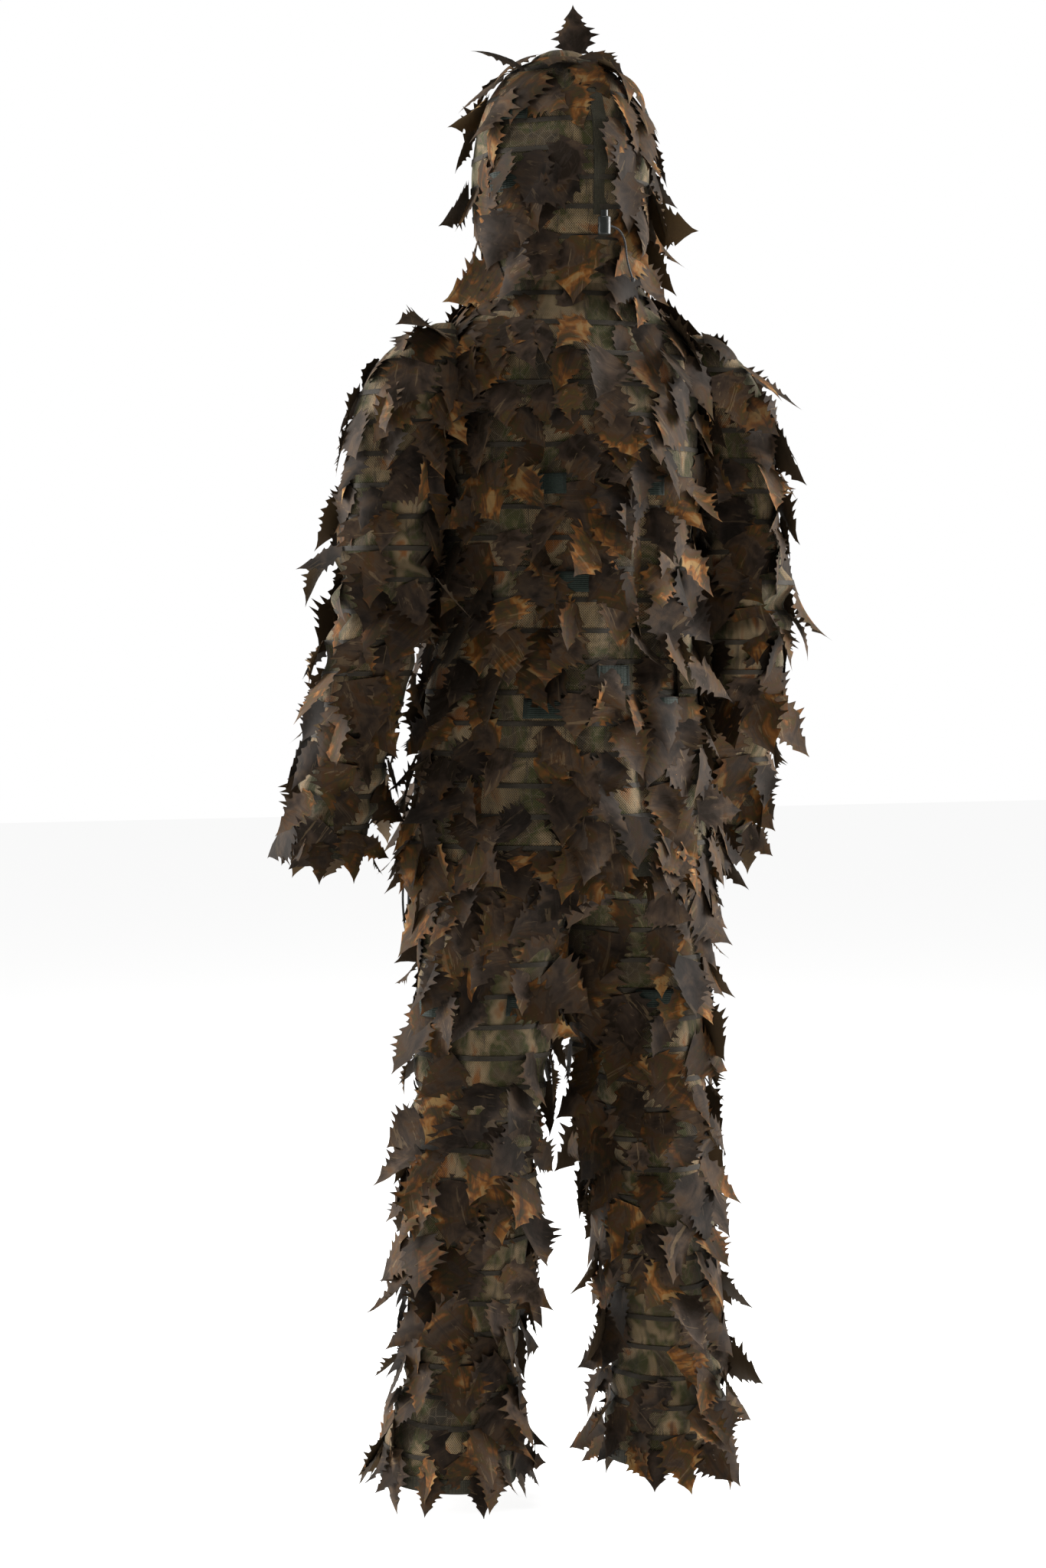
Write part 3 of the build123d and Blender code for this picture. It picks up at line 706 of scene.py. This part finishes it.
# half outline from the sewn edge to the tip: straight spines with scooped edges between them
def leafOutline(spines, scoop):
    corners = [(0.0, 0.07)] + spines + [(1.0, 0.0)]
    points = [corners[0]]
    for (s0, w0), (s1, w1) in zip(corners, corners[1:]):
        pull = (min(w0, w1) * scoop + 0.02, s0 * 0.42 + s1 * 0.58)
        for share in (0.34, 0.67):
            along = (1 - share) ** 2 * s0 + 2 * share * (1 - share) * pull[1] + share ** 2 * s1
            width = (1 - share) ** 2 * w0 + 2 * share * (1 - share) * pull[0] + share ** 2 * w1
            points.append((along, width))
        points.append((s1, w1))
    return points


def leafTemplate(name):
    spines, scoop = leafShapes[name]
    outline = leafOutline(spines, scoop)
    count = len(outline)
    flat, burn, faces = [], [], []
    for i, (along, width) in enumerate(outline):
        middle = i / (count - 1)
        root = middle * 0.55 + along * 0.45
        for across in (-1, -0.5, 0, 0.5, 1):
            share = abs(across)
            flat.append((width * across, root * (1 - share) + along * share))
            burn.append(1.0 if share == 1 else 0.0)
    for i in range(count - 1):
        last = i == count - 2
        for column in range(4):
            a, b = i * 5 + column, (i + 1) * 5 + column
            if last:      # the tip is one point
                faces.append([a, a + 1, (count - 1) * 5 + 2])
            else:
                faces.append([a, a + 1, b + 1, b])
    flat, burn = np.array(flat), np.array(burn)
    keep = list(range((count - 1) * 5)) + [(count - 1) * 5 + 2]
    place = {old: new for new, old in enumerate(keep)}
    return flat[keep], burn[keep], [[place[v] for v in face] for face in faces]


leafTemplates = {name: leafTemplate(name) for name in leafShapes}


def newLeafPile():
    return {"places": [], "faces": [], "leaf": [], "print": [], "mark": [], "count": 0, "leaves": 0}


# one leaf sewn at a root point, hanging along down and standing out along outward
def addLeaf(pile, root, down, outward, length, shape, lift, curl, cup, roll, sway, tone=None):
    flat, burn, faces = leafTemplates[shape]
    width = length * rng.uniform(*leafValues["width"])
    down, outward = np.array(down), np.array(outward)
    outward = outward / np.linalg.norm(outward)
    down = down - outward * down.dot(outward)
    down = down / np.linalg.norm(down)
    side = np.cross(down, outward)
    turned = down * math.cos(sway) + side * math.sin(sway)
    side = np.cross(turned, outward)
    down = turned
    side, outward = (side * math.cos(roll) + outward * math.sin(roll), outward * math.cos(roll) - side * math.sin(roll))
    along = flat[:, 1]
    steps = np.linspace(0, 1, 25)
    curl -= leafValues["hang"] * math.asin(min(max(outward[2], 0.0), 0.95))     # on a slope the tip hangs down
    angles = lift + curl * steps
    reach = np.concatenate([[0], np.cumsum((np.cos(angles[1:]) + np.cos(angles[:-1])) / 2)]) / 24
    rise = np.concatenate([[0], np.cumsum((np.sin(angles[1:]) + np.sin(angles[:-1])) / 2)]) / 24
    alongReach = np.interp(along, steps, reach) * length
    alongRise = np.interp(along, steps, rise) * length
    tilt = np.interp(along, steps, angles)
    bend = cup * np.clip(along * 1.6, 0, 1)
    angle = flat[:, 0] * 2 * bend
    safe = np.where(np.abs(bend) < 0.02, 0.02, bend)
    across = np.sin(flat[:, 0] * 2 * safe) / (2 * safe) * width
    sag = (1 - np.cos(angle)) / (2 * safe) * width
    places = (np.array(root) + np.outer(alongReach - sag * np.sin(tilt), down) + np.outer(across, side)
              + np.outer(alongRise + sag * np.cos(tilt), outward))
    start = pile["count"]
    pile["places"].append(places)
    pile["faces"].extend([[v + start for v in face] for face in faces])
    pile["leaf"].append(flat)
    shift = np.array([rng.uniform(-3, 3), rng.uniform(-3, 3)])
    spin = rng.uniform(0, fullTurn)
    metres = flat * np.array([width, length])
    turnedPrint = np.stack([metres[:, 0] * math.cos(spin) - metres[:, 1] * math.sin(spin),
                            metres[:, 0] * math.sin(spin) + metres[:, 1] * math.cos(spin)], axis=-1)
    pile["print"].append(turnedPrint + shift)
    chosen = rng.random() if tone is None else tone
    shade = rng.random()
    mark = np.stack([np.full(len(flat), chosen), np.full(len(flat), shade), burn, np.ones(len(flat))], axis=-1)
    pile["mark"].append(mark)
    pile["count"] += len(flat)
    pile["leaves"] += 1


# one place on a cloth
def onCloth(point, turn, z, out=0.0):
    return point(np.array([turn]), np.array([z]), np.array([out]))[0]


def surfaceFrame(point, turn, z, out):
    root = onCloth(point, turn, z, out)
    down = onCloth(point, turn, z - 0.012, out) - onCloth(point, turn, z + 0.012, out)
    level = onCloth(point, turn + 0.02, z, out) - onCloth(point, turn - 0.02, z, out)
    outward = np.cross(level, down)
    if outward.dot(onCloth(point, turn, z, out + 0.005) - root) < 0:
        outward = -outward
    return root, down, outward


def randomLeaf(pile, point, turn, z, lift=None, scale=1.0):
    root, down, outward = surfaceFrame(point, turn, z, leafValues["standOff"])
    degrees = math.radians
    shape = rng.choices(["broad", "oak", "slim"], [0.45, 0.38, 0.17])[0]
    given = rng.uniform(*leafValues["lift"]) if lift is None else lift
    addLeaf(pile, root, down, outward, rng.uniform(*leafValues["length"]) * scale, shape, degrees(given),
            degrees(rng.uniform(*leafValues["curl"])), degrees(rng.uniform(*leafValues["cup"])),
            degrees(rng.gauss(0, leafValues["roll"] * 0.5)), degrees(rng.gauss(0, leafValues["sway"] * 0.6)))


# level rows of leaves round one region, each row shifted against the last
def leafRows(pile, point, heights, skip=None, spacing=leafValues["spacing"]):
    turns = np.linspace(0, fullTurn, 49)
    stray, rise = leafValues["shift"]
    for number, z in enumerate(heights):
        ring = point(turns, 0 * turns + z, 0 * turns)
        run = np.concatenate([[0], np.cumsum(np.linalg.norm(np.diff(ring, axis=0), axis=1))])
        length = np.linalg.norm(np.diff(ring, axis=0), axis=1).sum()
        count = max(3, round(length / spacing))
        for i in range(count):
            at = ((i + 0.5 * (number % 2) + rng.uniform(-stray, stray)) / count * length) % length
            turn = float(np.interp(at, run, turns))
            height = z + rng.uniform(-rise, rise)
            if rng.random() < leafValues["bare"]:
                continue
            if skip is None or not skip(onCloth(point, turn, height)):
                randomLeaf(pile, point, turn, height)


# a hanging row of smaller leaves along a hem
def fringe(pile, point, turns, sway, z, lift, scale):
    for turn in turns:
        randomLeaf(pile, point, turn + rng.uniform(-sway, sway), z, lift=rng.uniform(*lift), scale=scale)


def leafPiece(name, pile, limits):
    places = np.concatenate(pile["places"])
    low, high = limits
    for axis in (0, 1):       # tips that would pass the suit's box bend back inside it
        places[:, axis] = np.clip(places[:, axis], low[axis], high[axis])
    flat = np.concatenate(pile["leaf"])
    printed = np.concatenate(pile["print"])
    order = np.concatenate([np.array(face) for face in pile["faces"]])
    piece = meshPiece(name, places, pile["faces"], [leafCloth], {"print": printed[order], "leaf": flat[order]})
    mark = piece.data.color_attributes.new("leafMark", "FLOAT_COLOR", "POINT")
    mark.data.foreach_set("color", np.concatenate(pile["mark"]).astype(np.float32).ravel())
    print(name, pile["leaves"], "leaves", len(pile["faces"]), "faces")
    return piece


tapeValues = {"width": 0.006, "standOff": 0.0014}


# narrow tapes that the leaves are sewn to, one at each row
def stripTapes(point, heights, turns, closed, keep):
    width, out = tapeValues["width"], tapeValues["standOff"]
    allPlaces, allFaces, allPrints, start = [], [], [], 0
    for z in heights:
        edges = np.array([z + width / 2, z - width / 2])
        places, faces, prints = clothGrid(lambda t, h, o: point(t, h, o + out), turns, edges, closed, keep)
        allPlaces.append(places)
        allFaces.extend([[v + start for v in face] for face in faces])
        allPrints.extend(prints)
        start += len(places)
    return np.concatenate(allPlaces), allFaces, allPrints


def clothPiece(name, point, turns, heights, rows, closed=True, keep=None):
    places, faces, prints = clothGrid(point, turns, heights, closed, keep)
    tapePlaces, tapeFaces, tapePrints = stripTapes(point, rows, turns, closed, keep)
    slots = [0] * len(faces) + [1] * len(tapeFaces)
    shifted = [[v + len(places) for v in face] for face in tapeFaces]
    piece = meshPiece(name, np.concatenate([places, tapePlaces]), faces + shifted, [meshCloth, stripTape],
                      {"print": [corner for face in prints + tapePrints for corner in face]}, slots)
    return piece


# true if a place lies within the tube, or that far outside it
def insideRings(rings, side, place, margin):
    heights = [ring[0] * mm for ring in rings]
    if not min(heights) < place[2] < max(heights):
        return False
    centreX, centreY, halfWidth, halfDepth = ringValues(rings, place[2])
    x = (place[0] - side * centreX) / (halfWidth + margin)
    y = (place[1] - centreY) / (halfDepth + margin)
    return x * x + y * y < 1


clothLimits = (cadLow - Vector((0.024, 0.018, 0.05)), cadHigh + Vector((0.024, 0.018, 0.05)))


def rowHeights(high, low):
    count = max(1, round((high - low) / leafValues["rowStep"]))
    return [high - (high - low) * i / count for i in range(count + 1)]


def turnsFor(count, start=0.0, end=fullTurn, closed=True):
    return np.linspace(start, end, count, endpoint=not closed)


# jacket: body and yoke in one sheet, open at the front for the zip
jacketValues = {
    "columns": 168,
    "rings": 92,
    "top": 0.505,
    "bottom": -0.216,
    "rows": (0.488, -0.196),
    "zipHalf": 0.0135,         # half the gap between the front edges
    "zipClear": 0.019,         # leaf edges stay this far from the middle of the zip
    "fringe": 21,
    "armhole": ((0.476, 0.5), (0.458, 0.62), (0.440, 0.7)),    # height and spread in radians
}


def makeJacket():
    gap = jacketValues["zipHalf"]
    zipTurn = gap / 0.15

    def point(turn, z, out):
        halfWidth = ringValues(suitRings["jacketDown"], z)[2]
        edge = np.arcsin(np.clip(gap / halfWidth, 0, 1))
        share = (turn - zipTurn) / (fullTurn - 2 * zipTurn)
        return jacketPoint(edge + share * (fullTurn - 2 * edge), z, out)
    turns = turnsFor(jacketValues["columns"], zipTurn, fullTurn - zipTurn, closed=False)
    heights = np.linspace(jacketValues["top"], jacketValues["bottom"], jacketValues["rings"])
    rows = rowHeights(*jacketValues["rows"])
    cloth = clothPiece("jacketCloth", point, turns, heights, rows, closed=False)
    pile = newLeafPile()

    def skip(place):
        nearZip = abs(place[0]) < 0.034 and place[1] < 0
        side = 1 if place[0] > 0 else -1
        return nearZip or (place[2] > 0.20 and insideRings(sleeveRings(side), side, place, -0.004))
    leafRows(pile, jacketPoint, rows, skip)
    fringe(pile, jacketPoint, np.linspace(0.3, fullTurn - 0.3, jacketValues["fringe"]), 0.08, -0.212, (2, 22), 0.86)
    for side in (1, -1):      # leaves over the top of each armhole
        for z, spread in jacketValues["armhole"]:
            for shift in np.linspace(-spread, spread, 4):
                turn = side * math.pi / 2 + shift + rng.uniform(-0.08, 0.08)
                randomLeaf(pile, jacketPoint, turn % fullTurn, z, lift=rng.uniform(0, 14), scale=1.05)
    clear = jacketValues["zipClear"]
    for places in pile["places"]:        # the zip's path stays clear of leaf edges
        near = (places[:, 1] < -0.05) & (np.abs(places[:, 0]) < clear)
        outwards = np.where(places[:, 0].mean() > 0, 1.0, -1.0)
        places[near, 0] = outwards * (clear + np.abs(places[near, 0]) * 0.1)
    leaves = leafPiece("jacketLeaves", pile, clothLimits)
    for piece in (cloth, leaves):
        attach(piece, "jacket")
    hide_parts("back_panel", "front_left", "front_right", "yoke_back", "yoke_front")
    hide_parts("jacket_leaves")
    return cloth, leaves


jacketCloth, jacketLeaves = makeJacket()

hoodValues = {
    "columns": 120,
    "rows": (0.772, 0.520),
    "spacing": 0.043,
    "faceCentre": 0.635,
    "faceHalf": (0.078, 0.092),
    # leaves round the crown: turn, height, lift, scale
    "crown": ((0.6, 0.792, 30, 0.9), (1.9, 0.795, 24, 0.9), (3.5, 0.792, 20, 0.95), (4.6, 0.794, 34, 0.85),
              (5.6, 0.790, 22, 0.9), (2.7, 0.786, 28, 0.9)),
    # two that stand proud: root, down, outward, length, shape, lift, curl, cup, roll, sway, tone
    "proud": (((-0.012, 0.012, 0.796), (0.16, 0.10, 0.98), (-0.1, 0.99, -0.08), 0.062, "oak", 0.05, 0.25, 0.5,
               0.2, 0.0, 0.2),
              ((0.064, 0.03, 0.768), (0.80, 0.05, 0.60), (-0.5, 0.4, 0.75), 0.074, "slim", 0.0, 0.35, -0.5,
               0.1, 0.1, 0.35)),
}


def inFace(place, grow=0.0):
    halfX, halfZ = hoodValues["faceHalf"]
    reach = (place[0] / (halfX + grow)) ** 2 + ((place[2] - hoodValues["faceCentre"]) / (halfZ + grow)) ** 2
    return place[1] < -0.045 and reach < 1


def makeHood():
    heights = np.concatenate([np.linspace(0.500, 0.745, 52), np.linspace(0.750, 0.780, 9),
                              np.linspace(0.784, 0.8015, 9), [0.802]])
    turns = turnsFor(hoodValues["columns"])
    rows = rowHeights(*hoodValues["rows"])
    cloth = clothPiece("hoodCloth", hoodPoint, turns, heights[::-1], rows, keep=lambda place: not inFace(place))
    cleanMesh(cloth, weld=True)
    halfX, halfZ = hoodValues["faceHalf"]
    mesh = cloth.data
    uses = {}
    for polygon in mesh.polygons:
        for edge in polygon.edge_keys:
            uses[edge] = uses.get(edge, 0) + 1
    rim = {v for edge, number in uses.items() if number == 1 for v in edge}
    for index in rim:         # the cut edge follows the brim's oval
        co = mesh.vertices[index].co
        if co.y < -0.04 and inFace(co, 0.012):
            angle = math.atan2((co.z - hoodValues["faceCentre"]) / halfZ, co.x / halfX)
            co.x = math.cos(angle) * halfX
            co.z = hoodValues["faceCentre"] + math.sin(angle) * halfZ
    pile = newLeafPile()

    def skip(place):
        channel = abs(place[0]) < 0.016 and place[1] > 0.03 and place[2] < 0.76
        return inFace(place, 0.02) or channel
    leafRows(pile, hoodPoint, rows, skip, hoodValues["spacing"])
    for turn, z, lift, scale in hoodValues["crown"]:
        randomLeaf(pile, hoodPoint, turn, z, lift=lift, scale=scale)
    for proud in hoodValues["proud"]:
        addLeaf(pile, *proud)
    leaves = leafPiece("hoodLeaves", pile, clothLimits)
    for piece in (cloth, leaves):
        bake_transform(piece)
    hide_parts("hood_left", "hood_right", "neck_band")
    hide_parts("hood_leaves")
    return cloth, leaves


hoodCloth, hoodLeaves = makeHood()


limbValues = {
    # heights: top, joint and hem; fringe: last turn, count, sway, height, lift and scale
    "sleeve": {"columns": 72, "rows": (0.440, -0.175), "heights": (0.452, 0.245, -0.197), "step": 0.0062,
               "fringe": (5.4, 7, 0.2, -0.192, (0, 24), 0.72)},
    "trouser": {"columns": 88, "rows": (-0.075, -0.962), "heights": (-0.040, -0.42, -0.986), "step": 0.0078,
                "fringe": (5.6, 10, 0.15, -0.978, (2, 26), 0.74)},
    # a leaf that stands up on the left shoulder, as the hood's proud ones
    "shoulderLeaf": ((0.188, 0.05, 0.437), (0.6, 0.55, 0.35), (-0.3, 0.2, 0.93), 0.080, "broad", 0.35, 0.3, 0.5,
                     0.2, 0.1, 0.3),
}


# a sleeve or a trouser leg: a cloth and its leaves for the half above the joint and for the half below it
def makeLimb(kind, name, point, halves):
    values = limbValues[kind]
    top, joint, hem = values["heights"]
    rows = rowHeights(*values["rows"])
    pieces = []
    for part, high, low in (("Top", top, joint), ("Low", joint, hem)):
        half = halves[part]
        own = [z for z in rows if low < z <= high]
        heights = np.linspace(high, low, round((high - low) / values["step"]))
        cloth = clothPiece(f"{kind}{part}Cloth_{name}", point, turnsFor(values["columns"]), heights, own,
                           keep=half.get("keep"))
        if part == "Top" or kind == "trouser":
            cleanMesh(cloth, weld=True)
        pile = newLeafPile()
        leafRows(pile, point, own, half.get("skip"))
        if part == "Low":
            last, count, sway, z, lift, scale = values["fringe"]
            fringe(pile, point, np.linspace(0, last, count), sway, z, lift, scale)
        if kind == "sleeve" and part == "Top" and name == "left":
            addLeaf(pile, *limbValues["shoulderLeaf"])
        leaves = leafPiece(f"{kind}{part}Leaves_{name}", pile, clothLimits)
        for piece in (cloth, leaves):
            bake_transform(piece)
        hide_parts(*half["nodes"])
        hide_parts(half["leafNode"])
        pieces.append((cloth, leaves))
    return pieces


def makeSleeve(name, side):
    upper, lower = f"upper_sleeve_{name}", f"forearm_{name}"
    return makeLimb("sleeve", name, sleevePoint(side), {
        "Top": {"bodies": ("jacket", upper), "start": (side * 0.15, 0.01, 0.36), "end": (side * 0.215, 0.01, 0.29),
                "nodes": (f"shoulder_fold_{name}", upper), "leafNode": f"{upper}_leaves",
                "skip": lambda place: insideRings(suitRings["jacket"], 1, place, -0.002)},
        "Low": {"bodies": (upper, lower), "start": (side * 0.24, 0.01, 0.19), "end": (side * 0.256, -0.002, 0.06),
                "nodes": (f"elbow_fold_{name}", lower), "leafNode": f"{lower}_leaves"},
    })


def makeTrouserLeg(name, side):
    thigh, shin = f"thigh_{name}", f"shin_{name}"
    return makeLimb("trouser", name, legPoint(side), {
        "Top": {"bodies": ("trousers", thigh), "start": (0, 0, -0.29), "end": (side * 0.06, 0, -0.36),
                "nodes": ("trousers_seat", f"hip_fold_{name}", thigh), "leafNode": f"{thigh}_leaves",
                "keep": lambda place: abs(place[0]) > 0.0012 or place[2] < -0.285,
                "skip": lambda place: abs(place[0]) < 0.012},
        "Low": {"bodies": (thigh, shin), "start": (side * 0.11, 0, -0.47), "end": (side * 0.124, 0, -0.62),
                "nodes": (f"knee_fold_{name}", shin), "leafNode": f"{shin}_leaves"},
    })


sleevePieces = {name: makeSleeve(name, side) for name, side in (("left", 1), ("right", -1))}
trouserPieces = {name: makeTrouserLeg(name, side) for name, side in (("left", 1), ("right", -1))}
print("cloth and leaves made")

# foliage tabs: straps of ribbed webbing sewn down at both ends, level on the cloth
tabValues = {
    "width": 0.048,
    "height": 0.025,
    "wall": 0.0013,
    "bow": 0.0035,          # how far the middle stands off, so that twigs go under it
    "places": {             # height in metres and turn in degrees from the front
        "jacket": [(0.015, 180), (-0.025, 152), (0.130, 163), (0.250, 197), (0.250, 152), (-0.025, 208),
                   (0.020, 40), (0.020, 320)],
        "hood": [(0.715, 120), (0.715, 240), (0.625, 118)],
        "thigh_left": [(-0.400, 98), (-0.395, 188)],
        "thigh_right": [(-0.400, 98), (-0.395, 188)],
    },
}


def makeTabs(name, point, body, nodeName, spots):
    width, height = tabValues["width"], tabValues["height"]
    places, faces, prints, slots = [], [], [], []
    for z, degrees in spots:
        turn = math.radians(degrees)
        step = 0.02
        level = onCloth(point, turn + step, z) - onCloth(point, turn - step, z)
        perTurn = np.linalg.norm(level) / (2 * step)
        shares = np.linspace(-0.5, 0.5, 17)
        downs = np.linspace(0.5, -0.5, 5)
        for start, wide, tall, lift, material in ((0, 1.0, 1.0, 0.0, 0), (-0.44, 0.05, 0.9, 0.0009, 1),
                                                  (0.44, 0.05, 0.9, 0.0009, 1)):
            across = start + shares * wide if material else shares
            grid, rise = np.meshgrid(across, downs * tall)
            bow = tabValues["bow"] * np.clip(1 - (np.abs(grid) / 0.42) ** 4, 0, 1)
            spot = point(turn + grid * width / perTurn, z + rise * height, 0.0042 + bow + lift)
            first = len(places)
            places.extend(spot.reshape(-1, 3))
            for row in range(4):
                for column in range(16):
                    a = first + row * 17 + column
                    faces.append([a, a + 1, a + 18, a + 17])
                    slots.append(material)
                    corner = [(row, column), (row, column + 1), (row + 1, column + 1), (row + 1, column)]
                    prints.extend([(across[c] * width, downs[r] * height) for r, c in corner])
    piece = meshPiece(name, places, faces, [darkWebbing, tabThread], {"print": prints}, slots)
    cleanMesh(piece)
    wall = piece.modifiers.new("wall", "SOLIDIFY")
    wall.thickness = tabValues["wall"]
    wall.offset = 0
    bpy.ops.object.modifier_apply(modifier="wall")
    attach(piece, body)
    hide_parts(nodeName)
    return piece


tabThread = makeWebbing("tabThread", (0.010, 0.014, 0.009), 5200.0, 9000.0)
makeTabs("jacketTabs", jacketPoint, "jacket", "jacket_tabs", tabValues["places"]["jacket"])
makeTabs("hoodTabs", hoodPoint, "hood", "hood_tabs", tabValues["places"]["hood"])
for name, side in (("left", 1), ("right", -1)):
    thigh = f"thigh_{name}"
    makeTabs(f"thighTabs_{name}", legPoint(side), thigh, f"{thigh}_tabs", tabValues["places"][thigh])
print("tabs made")

# the parts of the frame that show as they are take their own finishes
finishNodes = (
    (oliveTape, ("waist_casing", "trouser_hem_left", "trouser_hem_right", "cuff_left", "cuff_right", "jacket_hem",
                 "face_binding", "cord_channel")),
    (elasticCloth, ("waist_elastic",)),
    (zipTape, ("zip_tapes",)),
    (zipPlastic, ("zip_coils", "zip_stops")),
    (paintedZinc, ("zip_slider", "zip_pull", "hem_eyelets")),
    (blackPlastic, ("cord_lock_barrel", "cord_lock_button")),
    (springWire, ("cord_lock_spring",)),
    (braidedCord, ("hood_cord_knot",)),
)
nodeFinishes = {nodeName: finish for finish, names in finishNodes for nodeName in names}
for nodeName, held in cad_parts.items():
    if nodeName in nodeFinishes:
        held.data.materials.clear()
        held.data.materials.append(nodeFinishes[nodeName])

# the cord lock's coil spring, wound from wire and squeezed as the button goes down
springValues = {"coils": 4.5, "wire": 0.00028, "segments": 14}      # wire is the radius of the wire


def makeLockSpring():
    low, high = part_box("cord_lock_spring")
    centre = (low + high) / 2
    wire = springValues["wire"]
    radius = min((high.x - low.x) / 2, (high.y - low.y) / 2) - wire
    steps = int(springValues["coils"] * springValues["segments"])
    rise = (high.z - low.z) - 2 * wire
    points = []
    for i in range(steps + 1):
        angle = fullTurn * i / springValues["segments"]
        points.append((centre.x + radius * math.cos(angle), centre.y + radius * math.sin(angle),
                       low.z + wire + rise * i / steps))
    spring = makeCord("lockSpring", points, 2 * wire, "POLY", 2)
    selectOnly(spring)
    bpy.ops.object.convert(target="MESH")
    spring = bpy.context.object
    spring.data.materials.append(springWire)
    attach(spring, "hood")
    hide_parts("cord_lock_spring")
    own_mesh(spring)


makeLockSpring()

# the zip's coils: one bent tooth of nylon, copied up both tapes
zipValues = {"pitch": 0.0030, "tooth": (0.0030, 0.0017, 0.0024), "bevel": 0.00045, "apart": 0.0012}


def makeZipTeeth():
    low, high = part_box("zip_coils")
    wide, tall, deep = zipValues["tooth"]
    bpy.ops.object.select_all(action="DESELECT")
    bpy.ops.mesh.primitive_cube_add(size=1, location=(0, 0, 0))
    tooth = bpy.context.object
    tooth.name = "zipTooth"
    tooth.scale = (wide, deep, tall)
    bpy.ops.object.transform_apply(location=False, rotation=False, scale=True)
    bpy.ops.object.mode_set(mode="EDIT")
    bpy.ops.mesh.select_all(action="SELECT")
    bpy.ops.mesh.bevel(offset=zipValues["bevel"], segments=1, affect="EDGES")
    bpy.ops.object.mode_set(mode="OBJECT")
    block = np.array([list(v.co) for v in tooth.data.vertices])
    faces = [list(polygon.vertices) for polygon in tooth.data.polygons]
    bpy.data.objects.remove(tooth, do_unlink=True)
    lean = math.atan(frontHem[1])
    turnBack = np.array([[1, 0, 0], [0, math.cos(lean), math.sin(lean)], [0, -math.sin(lean), math.cos(lean)]])
    count = int((high.z - low.z) / math.cos(lean) / zipValues["pitch"])
    places, allFaces = [], []
    for i in range(count):
        for side in (-1, 1):
            share = (i + 0.5 + 0.25 * side) / count
            z = low.z + share * (high.z - low.z)
            y = low.y + share * (high.y - low.y - deep) + deep / 2
            start = len(places) * len(block)
            spot = block @ turnBack + np.array([side * zipValues["apart"], y, z])
            places.append(spot)
            allFaces.extend([[v + start for v in face] for face in faces])
    teeth = meshPiece("zipTeeth", np.concatenate(places), allFaces, [zipPlastic], {}, smooth=False)
    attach(teeth, "jacket")
    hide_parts("zip_coils")


makeZipTeeth()
print("spring and zip made")

for piece, body, nodeName in ((hemCord, "jacket", "hem_cord"), (hoodCord, "hood", "hood_cord")):
    piece.data.materials.append(braidedCord)
    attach(piece, body)
    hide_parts(nodeName)
